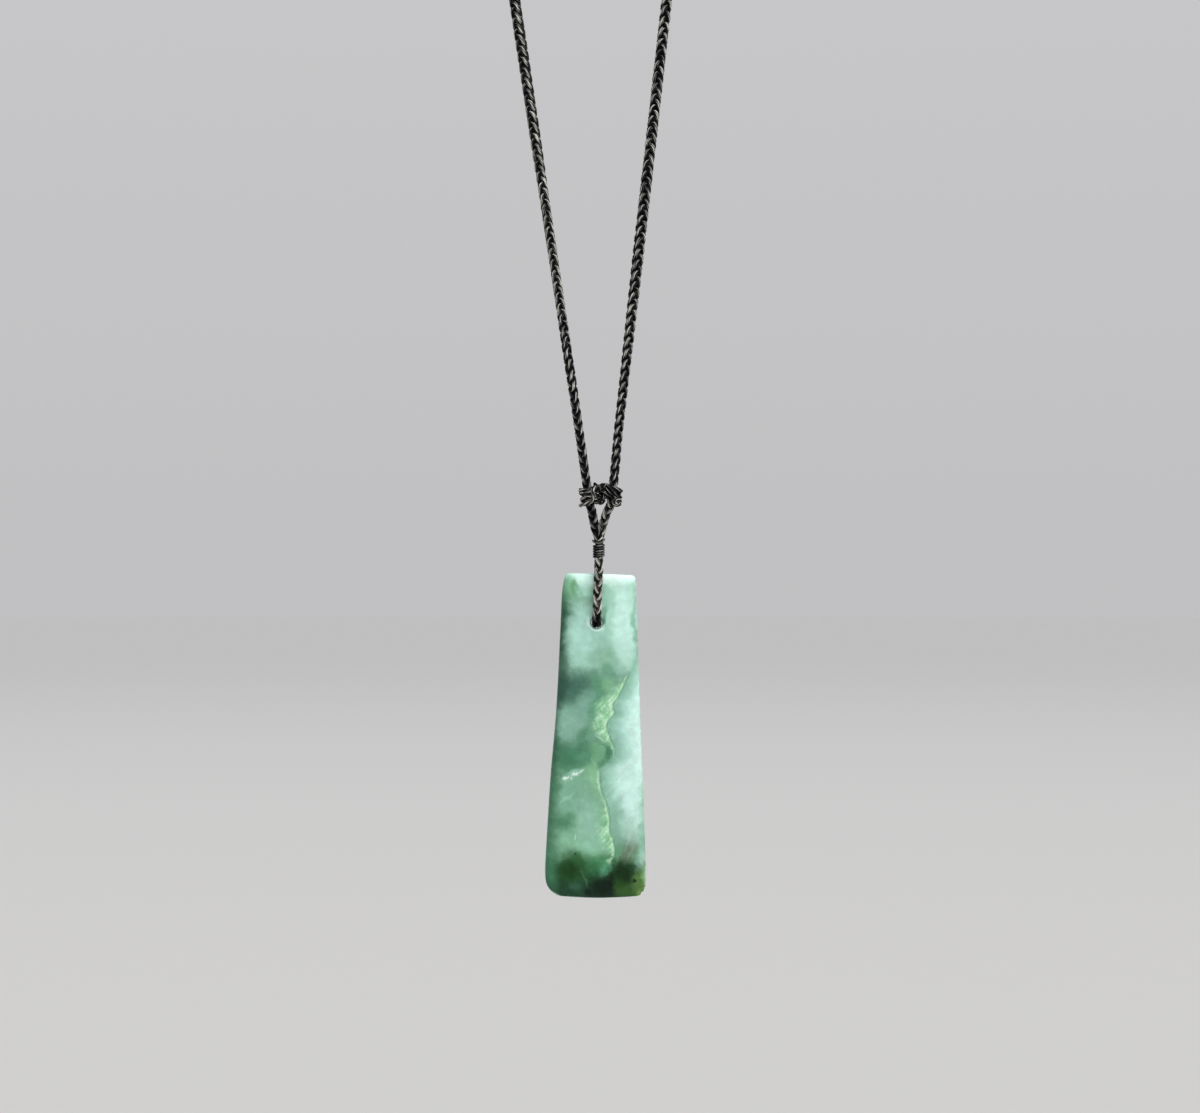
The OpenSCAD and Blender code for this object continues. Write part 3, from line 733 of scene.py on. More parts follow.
def smooth_line(points, step):
    """A smooth curve through the points, as places one step apart along it."""
    points = np.asarray(points, float)
    padded = np.vstack([2 * points[0] - points[1], points, 2 * points[-1] - points[-2]])
    dense = []
    for a, b, c, d in zip(padded, padded[1:], padded[2:], padded[3:]):
        gaps = [math.sqrt(np.linalg.norm(q - p)) for p, q in ((a, b), (b, c), (c, d))]
        out_b = (b - a) / gaps[0] - (c - a) / (gaps[0] + gaps[1]) + (c - b) / gaps[1]
        out_c = (c - b) / gaps[1] - (d - b) / (gaps[1] + gaps[2]) + (d - c) / gaps[2]
        t = np.linspace(0, 1, CURVE_STEPS, endpoint=False)[:, None]
        pull_b, pull_c = out_b * gaps[1], out_c * gaps[1]
        dense.append(b + pull_b * t + (3 * (c - b) - 2 * pull_b - pull_c) * t ** 2
                     + (2 * (b - c) + pull_b + pull_c) * t ** 3)
    dense = np.vstack(dense + [padded[-2:-1]])
    along = distances(dense)
    count = max(3, int(round(along[-1] / step)) + 1)
    places = np.linspace(0, along[-1], count)
    return np.stack([np.interp(places, along, dense[:, i]) for i in range(3)], axis=1)


def headings(line):
    """Which way a line runs at each of its places."""
    return unit(np.gradient(line, axis=0))


def carried(heads, first):
    """A sideways direction for each place on a line, carried along it without twist."""
    sides = [unit(first - heads[0] * np.dot(first, heads[0]))]
    for head in heads[1:]:
        sides.append(unit(sides[-1] - head * np.dot(sides[-1], head)))
    return np.array(sides)


def squared(line, facing):
    """The facing directions made square to the line, and the way across both."""
    heads = headings(line)
    facing = unit(facing - heads * np.sum(facing * heads, axis=1, keepdims=True))
    return facing, np.cross(heads, facing)


def swept(name, runs, material, sides=STRAND_SIDES, ridge=PLY_RIDGE, relief=0.5):
    """One mesh of strands, each swept along its own line. A run is a line, the direction in
    which the strand's flat side faces at each place, half its width, half its thickness,
    and how light each place is painted, from 0 to 1, as painted highlight and shade. relief is
    how much lighter the strand's outermost line is painted than its flanks, a painted highlight."""
    points, faces, crests, loops_uv = [], [], [], []
    for line, facing, half_w, half_t, crest in runs:
        facing, across = squared(line, facing)
        n = len(line)
        length = distances(line)
        turn = (2 * np.pi * np.arange(sides)[None, :] / sides
                + (2 * np.pi * length / PLY_TWIST_L)[:, None])
        bulge = 1 + ridge * np.where(np.arange(sides) % 2, -1, 1)[None, :]
        half_w = np.broadcast_to(half_w, n)[:, None]
        half_t = np.broadcast_to(half_t, n)[:, None]
        wide = half_w * np.cos(turn) * bulge
        thick = half_t * np.sin(turn) * bulge
        ring = (line[:, None, :] + wide[..., None] * across[:, None, :]
                + thick[..., None] * facing[:, None, :])
        first = sum(len(p) for p in points)
        points.append(ring.reshape(-1, 3))
        # How light each place is painted: the run's level, with a painted highlight along the
        # strand's outermost side and on its ridges
        level = (np.broadcast_to(crest, n)[:, None]
                 + relief * smoothstep(CREST_FROM, 1, np.sin(turn))
                 + RIDGE_LIGHT * (bulge - 1) / ridge)
        crests.append(np.clip(level, 0, 1).ravel())
        i, j = np.meshgrid(np.arange(n - 1), np.arange(sides), indexing="ij")
        i, j = i.ravel(), j.ravel()
        after = (j + 1) % sides
        quads = np.stack([i * sides + j, (i + 1) * sides + j, (i + 1) * sides + after,
                          i * sides + after], axis=1) + first
        faces.extend(quads.tolist())
        girth = 2 * np.pi * float(np.mean(half_w + half_t)) / 2 / sides
        u = np.stack([j, j, j + 1, j + 1], axis=1) * girth
        v = np.stack([length[i], length[i + 1], length[i + 1], length[i]], axis=1)
        loops_uv.append(np.stack([u, v], axis=2).reshape(-1, 2))
        for cap, end in ((range(sides), 0), (range(sides - 1, -1, -1), n - 1)):
            faces.append([first + end * sides + k for k in cap])
            loops_uv.append(np.array([(k * girth, length[end]) for k in cap]))
    mesh = bpy.data.meshes.new(name)
    mesh.from_pydata(shown(np.vstack(points)).tolist(), [], faces)
    uv = mesh.uv_layers.new(name="run")
    uv.data.foreach_set("uv", np.vstack(loops_uv).astype(np.float32).ravel())
    crest_data = mesh.attributes.new("crest", "FLOAT", "POINT")
    crest_data.data.foreach_set("value", np.concatenate(crests).astype(np.float32))
    mesh.polygons.foreach_set("use_smooth", [True] * len(mesh.polygons))
    mesh.materials.append(material)
    piece = bpy.data.objects.new(name, mesh)
    bpy.context.scene.collection.objects.link(piece)
    return piece


def placed(piece, body, slot, *nodes):
    """Puts the piece on its body, in place of the part's solids. The slot argument is not used."""
    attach(piece, body)
    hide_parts(*nodes)


def build_plait(material):
    """Both halves of the plait, whose strands run on from one half into the other."""
    left = half_route(LEFT_ARM, -1, -LEFT_LEAN)
    right = half_route(RIGHT_ARM, 1, RIGHT_LEAN)
    step = LEG_PITCH / RINGS_PER_PITCH
    line_left = smooth_line(left, step)
    line_right = smooth_line(right, step)
    line = np.vstack([line_left[::-1], line_right[1:]])
    middle = len(line_left) - 1
    heads = headings(line)
    sideways = np.empty_like(line)
    sideways[middle:] = carried(heads[middle:], np.array([1.0, 0, 0]))
    sideways[:middle + 1] = carried(heads[:middle + 1][::-1], np.array([1.0, 0, 0]))[::-1]
    depth = np.cross(heads, sideways)
    s = (np.arange(len(line)) - middle) * step
    height = line[:, 2]
    squeeze = smoothstep(*SQUEEZE_START, height) * (1 - smoothstep(*SQUEEZE_END, height))
    in_bore = 1 - smoothstep(*BORE_REACH, np.abs(s))
    line = line - in_bore[:, None] * np.array([0, 0, BORE_DROP])
    in_shade = 1 - smoothstep(*BORE_SHADE_REACH, np.abs(s))
    on_leg = smoothstep(*LEG_REACH, np.abs(s))
    looks = []
    for rows in (LEFT_HALF_LOOK, RIGHT_HALF_LOOK):
        heights, *columns = zip(*rows)
        looks.append([np.interp(height, heights, values) for values in columns])
    swell, turned, paler, dive = (np.where(s < 0, one, other) for one, other in zip(*looks))
    size = ((1 + (SQUEEZED_D / CORD_D - 1) * squeeze) * (1 + (BORE_SWELL - 1) * in_bore)
            * swell)
    facing = COLUMN_TURN - 2 * COLUMN_TURN * smoothstep(*BACK_TURN, s) + turned
    for degrees, run, start in PLAIT_WANDER:
        facing = facing + degrees * np.sin(s / run + start)
    facing = np.radians(facing)
    phase = 2 * np.pi * step * np.cumsum(1 / (FRONT_PITCH + (LEG_PITCH - FRONT_PITCH) * on_leg))
    phase -= phase[middle]
    halves = {"plait_left": [], "plait_right": []}
    for k in range(4):
        way = 1 if k < 2 else -1
        turn = way * phase + (k % 2) * np.pi
        dive_over, dive_under = (dive, 1) if way == 1 else (1, dive)
        turn = np.arctan2(dive_over * np.sin(turn), dive_under * np.cos(turn))
        over = way * np.tanh(STRAND_SQUARE * np.cos(2 * turn)) / math.tanh(STRAND_SQUARE)
        between = np.sin(2 * turn) ** GROOVE_NARROW
        reach = (STRAND_R + STRAND_WEAVE * over - GROOVE * between) * size
        out = (np.cos(turn + facing)[:, None] * sideways
               + np.sin(turn + facing)[:, None] * depth)
        strand = line + reach[:, None] * out
        # Painted light and shade: a strand is lighter where it lies over the others, darker in the
        # groove up the legs, and darker still in and near the hole
        crest = (STRAND_CREST + OVER_LIGHT * over + paler
                 - GROOVE_SHADE * on_leg * np.sin(2 * turn) ** 2)
        crest = crest * (1 - BORE_SHADE * in_shade)
        runs = (strand, out, STRAND_HALF_W * size, STRAND_HALF_T * size, crest)
        halves["plait_left"].append(tuple(r[:middle + 1] for r in runs))
        halves["plait_right"].append(tuple(r[middle:] for r in runs))
    for name, node in (("plait_left", "cord_left"), ("plait_right", "cord_right")):
        placed(swept(name, halves[name], material), "cord", "plaited_cord", node)


# The bindings
def plied(line, facing, thickness, plies=3, lay=7.0, crest=WOUND_CREST):
    """A strand of round plies that turn slowly round each other, as runs for swept."""
    facing, across = squared(line, facing)
    length = distances(line)
    runs = []
    for k in range(plies):
        turn = 2 * np.pi * (k / plies + length / lay)
        out = np.cos(turn)[:, None] * across + np.sin(turn)[:, None] * facing
        ply = line + thickness * PLY_REACH * out
        # A painted highlight: each ply is lighter on the side that faces out and darker on the side
        # that faces in
        level = crest + PLY_LIGHT * np.sin(turn)
        runs.append((ply, out, thickness * PLY_R, thickness * PLY_R, level))
    return runs


def ring_ways(turn):
    """The level way out of a ring at each angle round it."""
    return np.stack([np.cos(turn), np.sin(turn), 0 * turn], axis=1)


def build_whipping(material):
    """Turns of flat thread round both thicknesses of the cord, above the stone."""
    reach = SQUEEZED_D / 2 + WOUND_GAP + THREAD_T / 2
    steps = np.arange(WHIPPING_STEPS * WHIPPING_TURNS + 1)
    turn = 2 * np.pi * (steps / WHIPPING_STEPS + 0.25)
    z = WHIPPING_FOOT - THREAD_W / 2 + THREAD_W * steps / WHIPPING_STEPS
    low = (WHIPPING_FOOT + THREAD_W * (WHIPPING_TURNS - 0.5) - z) / (THREAD_W * WHIPPING_TURNS)
    span = WHIPPING_HEAD_Y + low * (WHIPPING_FOOT_Y - WHIPPING_HEAD_Y)
    line = np.stack([
        WHIPPING_X + reach * np.cos(turn),
        reach * np.sin(turn) + span * np.tanh(WHIPPING_SQUARE * np.sin(turn)), z], axis=1)
    crest = WOUND_CREST * smoothstep(*WHIPPING_LIT, np.cos(turn) * reach)
    runs = [(line, ring_ways(turn), THREAD_HALF_W, THREAD_HALF_T, crest)]
    turn = 2 * np.pi * np.arange(LOOSE_STEPS + 1) / LOOSE_STEPS + 0.5 * np.pi
    right, away = np.cos(turn), np.sin(turn)
    loose = np.stack([
        LOOSE_X + LOOSE_REACH[0] * right,
        LOOSE_REACH[1] * away + LOOSE_SPAN * np.tanh(LOOSE_SQUARE * away),
        LOOSE_FOOT + LOOSE_RISE * right ** 2 + LOOSE_TILT * right], axis=1)
    runs.append((loose, ring_ways(turn), LOOSE_HALF_W, LOOSE_HALF_T, LOOSE_CREST))
    tail = smooth_line(THREAD_TAIL, 0.1)
    runs.append((tail, np.tile(TO_VIEWER, (len(tail), 1)), TAIL_R, TAIL_R, TAIL_CREST))
    placed(swept("whipping_thread", runs, material, sides=12, ridge=0.06, relief=0.45),
           "cord", "waxed_thread", "whipping")


def lashing_line(lean, z, fall, push, wander):
    """The strand's line round one leg, and the way out from the leg at each place. fall tips
    the turns down to the right, and push moves them to the right."""
    turns = np.arange(LASHING_STEPS * LASHING_TURNS + 1) / LASHING_STEPS
    turn = 2 * np.pi * (turns + 0.25)
    reach = CORD_D / 2 + WOUND_GAP + LASHING_D / 2
    across = reach * np.cos(turn) + push / 2
    up = LASHING_D * (turns - LASHING_TURNS / 2) - fall * across
    # Hand-wound turns lie unevenly, and ride over each other here and there
    up = up + wander * np.sin(1.37 * turn + 1)
    reach = reach * (1 + LASHING_RIDE * np.sin(0.73 * turn + 2))
    tilt = math.radians(lean)
    right = across * math.cos(tilt) + up * math.sin(tilt)
    height = -across * math.sin(tilt) + up * math.cos(tilt)
    foot = np.array(leg_point(lean, z))
    return foot + np.stack([right, reach * np.sin(turn), height], axis=1), ring_ways(turn)


def outward(line, lean, z):
    """The way out from the leg for a free strand near it."""
    away = line - np.array(leg_point(lean, z))
    away[:, 2] = 0
    return unit(away)


LEFT_CROSSING_STRAND = [
    (-0.6, 1.6, 31.0), (-0.3, -0.3, 31.4), (-0.6, -1.7, 31.2), (-0.95, -2.4, 30.5),
    (-0.75, -2.35, 29.3), (-1.0, -2.35, 28.3), (-2.3, -1.9, 27.6), (-3.6, -0.8, 27.2),
    (-3.8, 0.6, 27.2),
]
RIGHT_TIED_OFF = [
    (4.6, 1.4, 28.2), (5.4, 0.2, 28.0), (5.5, -1.3, 28.3), (4.6, -2.2, 28.6), (3.9, -2.0, 27.7),
    (4.6, -1.7, 27.2), (5.6, -1.4, 27.6),
]
# What fills the space between the two lashings, thickest first
TIE_CORE = [
    [(-1.0, 0.3, 30.9), (-0.1, 0.4, 30.9), (0.9, 0.4, 30.7), (1.5, 0.4, 30.8), (2.2, 0.3, 31.0)],
    [(-0.9, 0.3, 29.7), (0.2, 0.4, 29.5), (0.9, 0.4, 29.4), (1.6, 0.4, 29.6), (2.3, 0.3, 29.9)],
    [(-0.7, 0.2, 31.9), (0.2, 0.3, 31.6), (0.9, 0.3, 31.5), (1.4, 0.3, 31.7), (2.0, 0.2, 31.9)],
]
TIE_STRANDS = [
    [(-0.4, -0.9, 31.9), (0.3, -1.3, 31.6), (0.9, -1.4, 31.0), (1.5, -1.2, 30.4), (2.0, -0.8, 30.0)],
    [(-0.4, -0.8, 30.2), (0.3, -1.0, 30.5), (0.9, -1.1, 31.0), (1.6, -1.2, 31.6), (2.1, -0.8, 32.0)],
    [(-0.3, 0.8, 30.2), (0.4, 0.9, 30.5), (0.9, 0.9, 30.9), (1.5, 0.9, 31.3), (2.1, 0.8, 31.6)],
    [(0.9, -0.9, 32.0), (0.75, -1.5, 31.4), (0.7, -1.6, 30.7), (0.8, -1.3, 29.9), (0.9, -0.6, 29.5)],
    # five that hang lower between the lashings
    [(-0.5, -0.5, 29.6), (0.1, -0.8, 29.0), (0.8, -0.9, 28.7), (1.5, -0.7, 28.9), (2.2, -0.4, 29.4)],
    [(-0.6, 0.5, 29.9), (0.2, 0.6, 29.5), (0.9, 0.6, 29.4), (1.6, 0.6, 29.6), (2.2, 0.5, 30.0)],
    [(-0.4, -0.3, 28.4), (0.3, -0.9, 27.9), (0.9, -1.1, 28.2), (1.4, -0.9, 28.9), (1.8, -0.5, 29.6)],
    [(-0.7, 0.4, 28.9), (0.1, 0.5, 28.5), (0.9, 0.5, 28.4), (1.6, 0.5, 28.6), (2.2, 0.4, 29.0)],
    [(-0.6, 0.1, 28.1), (0.2, 0.1, 27.7), (0.9, 0.1, 27.6), (1.5, 0.1, 27.9), (2.0, 0.2, 28.4)],
]


def build_lashings(material):
    """A plied strand wound round each leg, where the arms part."""
    line, out = lashing_line(-LEFT_LEAN, LASHING_LEFT_Z, fall=0.5, push=0, wander=0.35)
    runs = plied(line, out, LASHING_D)
    free = smooth_line(LEFT_CROSSING_STRAND, FREE_STEP)
    runs += plied(free, outward(free, -LEFT_LEAN, LASHING_LEFT_Z), FREE_LEFT_D, crest=0.4)
    placed(swept("lashing_left_strand", runs, material, sides=8, ridge=0.02),
           "cord", "waxed_strand", "lashing_left")
    line, out = lashing_line(RIGHT_LEAN, LASHING_RIGHT_Z, fall=0.55, push=0.7, wander=0.2)
    runs = plied(line, out, LASHING_D, lay=-6.0, crest=0.03)
    free = smooth_line(RIGHT_TIED_OFF, FREE_STEP)
    runs += plied(free, outward(free, RIGHT_LEAN, LASHING_RIGHT_Z), FREE_RIGHT_D, crest=0.3)
    placed(swept("lashing_right_strand", runs, material, sides=8, ridge=0.02),
           "cord", "waxed_strand", "lashing_right")


def build_cross_tie(material):
    """The strands between the two lashings."""
    runs = []
    for strands, thickness, crest in ((TIE_CORE, 1.5, 0.0), (TIE_STRANDS, 0.62, 0.14)):
        for points in strands:
            line = smooth_line(points, 0.15)
            facing = np.tile(TO_VIEWER, (len(line), 1))
            runs += plied(line, facing, thickness, plies=2, lay=4, crest=crest)
    placed(swept("cross_tie_strand", runs, material, sides=8, ridge=0.02),
           "cord", "waxed_strand", "cross_tie")


def build_join(material):
    """Thread wound over the two ends of the cord, at the back of the neck."""
    half_t = (JOIN_D - CORD_D) / 4
    turns = round(JOIN_L / (2 * half_t + JOIN_GAP))
    count = JOIN_STEPS * turns + 1
    turn = 2 * np.pi * np.arange(count) / JOIN_STEPS
    along = (np.arange(count) / (count - 1) - 0.5) * JOIN_L / LOOP_R
    reach = CORD_D / 2 + half_t
    up = np.stack([np.sin(along), 0 * along, np.cos(along)], axis=1)
    out = np.cos(turn)[:, None] * up + np.sin(turn)[:, None] * np.array([0.0, 1.0, 0.0])
    line = LOOP_CENTRE + LOOP_R * up + reach * out
    placed(swept("join_thread", [(line, out, half_t, half_t, 0.05)], material, sides=8, ridge=0.03),
           "cord", "waxed_thread", "back_join")


# The stone, as the part's source has it
STONE_H = 75
HOLE_DROP = 11.1
HOLE_D = 2.6
RIM_D = 3.9
# Rows of the stone's cage: [height over the hole, reach to the left, to the right,
# thickness at the middle of the row]
STONE_ROWS = [
    (11.1, 7.0, 8.75, 2.3), (9.8, 7.65, 9.05, 3.7), (7.2, 8.1, 9.2, 3.8), (2.4, 8.28, 9.32, 4.1),
    (-3.15, 8.54, 9.5, 4.4), (-14.4, 9.05, 9.88, 4.95), (-24.9, 9.7, 10.22, 5.22),
    (-33.9, 10.7, 10.58, 5.22), (-45.15, 11.33, 11.05, 4.95), (-54.15, 11.89, 11.32, 4.2),
    (-59.4, 12.15, 11.5, 3.4), (-62.3, 11.3, 11.3, 2.5), (-63.9, 9.2, 10.2, 1.5),
]
# Columns of the cage: [share of the row's width, share of the row's thickness]
STONE_COLUMNS = [
    (0.0, 0.65), (0.065, 0.98), (0.19, 0.97), (0.35, 0.99), (0.5, 1.0), (0.65, 0.99),
    (0.81, 0.97), (0.935, 0.98), (1.0, 0.65),
]
# The slab that the cage is cut from, and how near to a row or column its places lie
SLAB_HALF_W = 12.0
SLAB_HALF_T = 2.6
NEAR = 0.01
# The blade's edge bows down in its middle, and the top edge falls to the right
BLADE_BOW = 0.5
TOP_FALL = 0.5
TOP_RISE = 0.36
# Chips in the right edge and at the lower right corner: their width and depth, and where
EDGE_CHIP = (0.55, 0.32)
EDGE_CHIP_REACH = (0.1, 0.7)
CORNER_CHIP = (0.9, 1.1)
CORNER_CHIP_R = 1.6
CORNER_PLACE = (10.7, -62.2)
CHIP_LEVEL = 0.62
LEAST_WEAR = 0.01
# The countersink's round lip, and how the spool that cuts it flares outside the stone
FACE_Y = 2.15
LIP_TURN = 80
LIP_STEPS = 8
SPOOL_FLARE = (2.5, 0.6)
HOLE_SIDES = 96
ROUNDING_LEVELS = 4
# Edges turned by more degrees than this stay sharp
SHARP_ANGLE = 40


def pick(piece, wanted):
    """Selects the vertices of the piece, in edit mode, whose place passes the test."""
    bpy.ops.object.mode_set(mode="OBJECT")
    for vertex in piece.data.vertices:
        vertex.select = bool(wanted(vertex.co))
    for edge in piece.data.edges:
        edge.select = all(piece.data.vertices[i].select for i in edge.vertices)
    for face in piece.data.polygons:
        face.select = all(piece.data.vertices[i].select for i in face.vertices)
    bpy.ops.object.mode_set(mode="EDIT")


def apply_all(piece):
    """Applies the piece's modifiers, in their order."""
    bpy.ops.object.select_all(action="DESELECT")
    piece.select_set(True)
    bpy.context.view_layer.objects.active = piece
    for modifier in list(piece.modifiers):
        bpy.ops.object.modifier_apply(modifier=modifier.name)


def chip_edge(piece):
    """Small worn chips down the right edge, and deeper ones at the lower right corner."""
    heights = [row[0] for row in reversed(STONE_ROWS)]
    reaches = [row[2] for row in reversed(STONE_ROWS)]
    places = np.array([vertex.co for vertex in piece.data.vertices])
    inset = np.interp(places[:, 2], heights, reaches) - places[:, 0]
    edge = 1 - smoothstep(*EDGE_CHIP_REACH, inset)
    corner = 1 - smoothstep(0, CORNER_CHIP_R, np.hypot(
        places[:, 0] - CORNER_PLACE[0], places[:, 2] - CORNER_PLACE[1]))
    for name, share, (grain, depth) in (
            ("worn_edge", edge, EDGE_CHIP), ("chipped_corner", corner, CORNER_CHIP)):
        group = piece.vertex_groups.new(name=name)
        for i in np.flatnonzero(share > LEAST_WEAR):
            group.add([int(i)], float(share[i]), "REPLACE")
        chips = bpy.data.textures.new(name, "CLOUDS")
        chips.noise_scale = grain
        chips.noise_depth = 2
        wear = piece.modifiers.new(name, "DISPLACE")
        wear.texture = chips
        wear.texture_coords = "LOCAL"
        wear.vertex_group = name
        wear.strength = depth
        wear.mid_level = CHIP_LEVEL
    apply_all(piece)
    piece.vertex_groups.clear()


def build_cage():
    """A slab as high as the stone, cut into rows and columns and drawn in to its shape."""
    middle_z = HOLE_DROP - STONE_H / 2
    bpy.ops.mesh.primitive_cube_add(
        size=1, location=(0, 0, middle_z), scale=(2 * SLAB_HALF_W, 2 * SLAB_HALF_T, STONE_H))
    piece = bpy.context.object
    piece.name = "jade_blade"
    bpy.ops.object.transform_apply(location=True, rotation=True, scale=True)
    bpy.ops.object.mode_set(mode="EDIT")
    bpy.ops.mesh.select_mode(type="VERT")
    cuts = [((0, 0, row[0]), (0, 0, 1)) for row in STONE_ROWS[1:-1]]
    cuts += [((SLAB_HALF_W * (2 * share - 1), 0, 0), (1, 0, 0))
             for share, _ in STONE_COLUMNS[1:-1]]
    cuts += [((0, 0, 0), (0, 1, 0))]
    for place, normal in cuts:
        bpy.ops.mesh.select_all(action="SELECT")
        bpy.ops.mesh.bisect(plane_co=place, plane_no=normal)

    # Each row is drawn in to its own reach and thickness, then each column thinned
    for up, left, right, thick in STONE_ROWS:
        pick(piece, lambda co: abs(co.z - up) < NEAR)
        bpy.ops.transform.resize(
            value=((left + right) / 2 / SLAB_HALF_W, thick / 2 / SLAB_HALF_T, 1),
            center_override=(0, 0, up))
        bpy.ops.transform.translate(value=((right - left) / 2, 0, 0))
    rows = {row[0]: row for row in STONE_ROWS}

    def share_of(co):
        """How far a place lies from left to right along its row, from 0 to 1."""
        row = min(rows, key=lambda z: abs(z - co.z))
        return (co.x + rows[row][1]) / (rows[row][1] + rows[row][2])

    for share, thin in STONE_COLUMNS:
        pick(piece, lambda co: abs(share_of(co) - share) < NEAR)
        bpy.ops.transform.resize(value=(1, thin, 1), center_override=(0, 0, 0))
    for share, _ in STONE_COLUMNS:
        pick(piece, lambda co: (
            co.z < STONE_ROWS[-2][0] + NEAR and abs(share_of(co) - share) < NEAR))
        bpy.ops.transform.translate(value=(0, 0, BLADE_BOW * (2 * share - 1) ** 2))
        pick(piece, lambda co: (
            co.z > STONE_ROWS[1][0] - NEAR and abs(share_of(co) - share) < NEAR))
        bpy.ops.transform.translate(value=(0, 0, TOP_RISE - TOP_FALL * share ** 2))
    bpy.ops.object.mode_set(mode="OBJECT")
    return piece


def drill_hole(piece):
    """The drilled hole and its countersinks, cut by a spool whose ends flare in a round lip."""
    lip = (RIM_D - HOLE_D) / 2
    profile = [(HOLE_D / 2, 0.0)]
    for i in range(LIP_STEPS + 1):
        bend = math.radians(LIP_TURN * i / LIP_STEPS)
        profile.append((RIM_D / 2 - lip * math.cos(bend), FACE_Y - lip + lip * math.sin(bend)))
    profile.append((RIM_D / 2 + SPOOL_FLARE[0], FACE_Y + SPOOL_FLARE[1]))
    spool = [(r, -y) for r, y in reversed(profile)] + profile[1:]
    bpy.ops.mesh.primitive_circle_add(
        vertices=HOLE_SIDES, radius=spool[0][0], fill_type="NGON", location=(0, spool[0][1], 0),
        rotation=(math.pi / 2, 0, 0))
    drill = bpy.context.object
    bpy.ops.object.transform_apply(location=True, rotation=True, scale=True)
    bpy.ops.object.mode_set(mode="EDIT")
    bpy.ops.mesh.select_all(action="SELECT")
    for (r, y), (next_r, next_y) in zip(spool, spool[1:]):
        bpy.ops.mesh.extrude_region_move(TRANSFORM_OT_translate={"value": (0, next_y - y, 0)})
        bpy.ops.transform.resize(
            value=(next_r / r, 1, next_r / r), center_override=(0, next_y, 0))
    bpy.ops.mesh.select_all(action="SELECT")
    bpy.ops.mesh.normals_make_consistent(inside=False)
    bpy.ops.object.mode_set(mode="OBJECT")
    hole = piece.modifiers.new("hole", "BOOLEAN")
    hole.operation = "DIFFERENCE"
    hole.solver = "EXACT"
    hole.object = drill
    apply_all(piece)
    bpy.data.objects.remove(drill)


def build_stone(material):
    """The blade: its cage, rounded, chipped along its right edge, and drilled."""
    piece = build_cage()
    rounding = piece.modifiers.new("rounding", "SUBSURF")
    rounding.levels = ROUNDING_LEVELS
    rounding.render_levels = ROUNDING_LEVELS
    apply_all(piece)
    chip_edge(piece)
    drill_hole(piece)
    for vertex in piece.data.vertices:
        vertex.co = shown(vertex.co)
    piece.data.materials.clear()
    piece.data.materials.append(material)
    bpy.ops.object.shade_smooth_by_angle(angle=math.radians(SHARP_ANGLE))
    placed(piece, "stone", "stone", "toki_stone")


# Floor and light
FLOOR_Z = -1.2
FLOOR_R = 40
FLOOR_NEAR = 3.0
FLOOR_FAR = 24.0
HORIZON_LIGHT = 0.54
ZENITH_LIGHT = 0.74
LIT_MIDDLE = (0, 0, -20)
# Lamps: [name, kind, where from the lit middle in metres, angle or size, power]
LAMPS = [
    ("key", "SUN", (0.8, -1.1, 0.75), math.radians(55), 1.05),
    ("back", "SUN", (0.5, 1.0, 0.4), math.radians(40), 0.5),
    ("top", "AREA", (0.12, -0.1, 0.62), 0.35, 2.6),
]


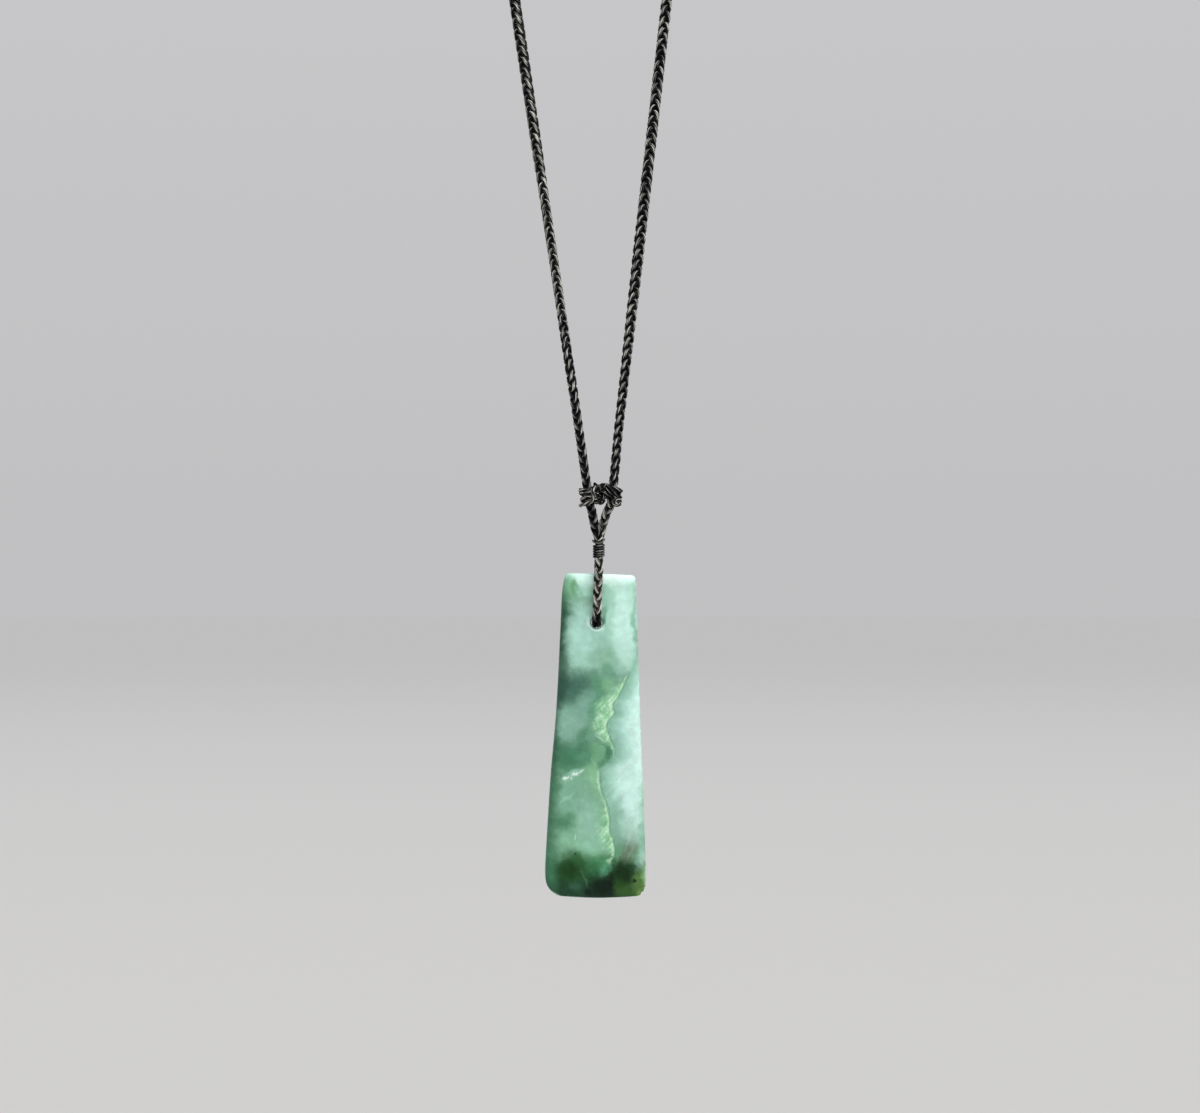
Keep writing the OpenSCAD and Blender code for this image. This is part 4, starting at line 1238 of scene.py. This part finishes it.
def studio_material():
    """Matt studio paper in pale grey, a little darker far away, where it meets the air."""
    material, tree, output = new_material("studio_paper")
    place = add(tree, "ShaderNodeTexCoord").outputs["Object"]
    away = add(tree, "ShaderNodeVectorMath", [(0, place)], operation="LENGTH").outputs["Value"]
    away = add(tree, "ShaderNodeMapRange", [
        ("Value", away), ("From Min", FLOOR_NEAR), ("From Max", FLOOR_FAR)],
        **SMOOTH).outputs[0]
    colour = add(tree, "ShaderNodeValToRGB", [("Fac", away)], stops=[
        (0.0, "dddcda"), (1.0, "cbcbcb")]).outputs[0]
    shader = add(tree, "ShaderNodeBsdfPrincipled", [
        ("Base Color", colour), ("Roughness", 1.0), ("Specular IOR Level", 0.0)])
    tree.links.new(shader.outputs[0], output.inputs["Surface"])
    return material


def build_studio():
    """A wide round floor that meets the equally pale air far away."""
    bpy.ops.object.select_all(action="DESELECT")
    bpy.ops.mesh.primitive_circle_add(
        vertices=128, radius=FLOOR_R, fill_type="NGON", location=(0, 0, FLOOR_Z))
    floor = bpy.context.object
    floor.name = "studio_floor"
    floor.data.materials.append(studio_material())


def build_light():
    """A wide key from the upper right, a soft light from behind, a small one over the stone's
    top edge, and pale air all round that is a little brighter overhead."""
    middle = shown(LIT_MIDDLE)
    for name, kind, offset, size, power in LAMPS:
        bpy.ops.object.light_add(type=kind, location=middle + np.array(offset))
        lamp = bpy.context.object
        lamp.name = name
        lamp.visible_camera = False
        if kind == "SUN":
            lamp.data.angle = size
        else:
            lamp.data.shape = "SQUARE"
            lamp.data.size = size
        lamp.data.energy = power
        way = -np.array(offset)
        flat = math.hypot(way[0], way[1])
        lamp.rotation_euler = (math.atan2(flat, -way[2]), 0, math.atan2(-way[0], way[1]))
    world = bpy.data.worlds.new("studio_air")
    bpy.context.scene.world = world
    world.use_nodes = True
    tree = world.node_tree
    way = add(tree, "ShaderNodeTexCoord").outputs["Generated"]
    up = add(tree, "ShaderNodeSeparateXYZ", [("Vector", way)]).outputs["Z"]
    strength = add(tree, "ShaderNodeMapRange", [
        ("Value", up), ("To Min", HORIZON_LIGHT), ("To Max", ZENITH_LIGHT)]).outputs[0]
    tree.nodes["Background"].inputs["Color"].default_value = linear("fdfdff")
    tree.links.new(strength, tree.nodes["Background"].inputs["Strength"])
    bpy.context.scene.view_settings.view_transform = "Standard"


build_camera()
CORD_THREAD = thread_material(
    "waxed_thread_plaited", "030408", "14151b", "7f7e77", "cfccc2")
BINDING_THREAD = thread_material(
    "waxed_thread_wound", "030408", "17181e", "72706b", "c6c2b8")
build_plait(CORD_THREAD)
build_whipping(BINDING_THREAD)
build_lashings(BINDING_THREAD)
build_cross_tie(BINDING_THREAD)
build_join(BINDING_THREAD)
build_stone(jade_material())
build_studio()
build_light()
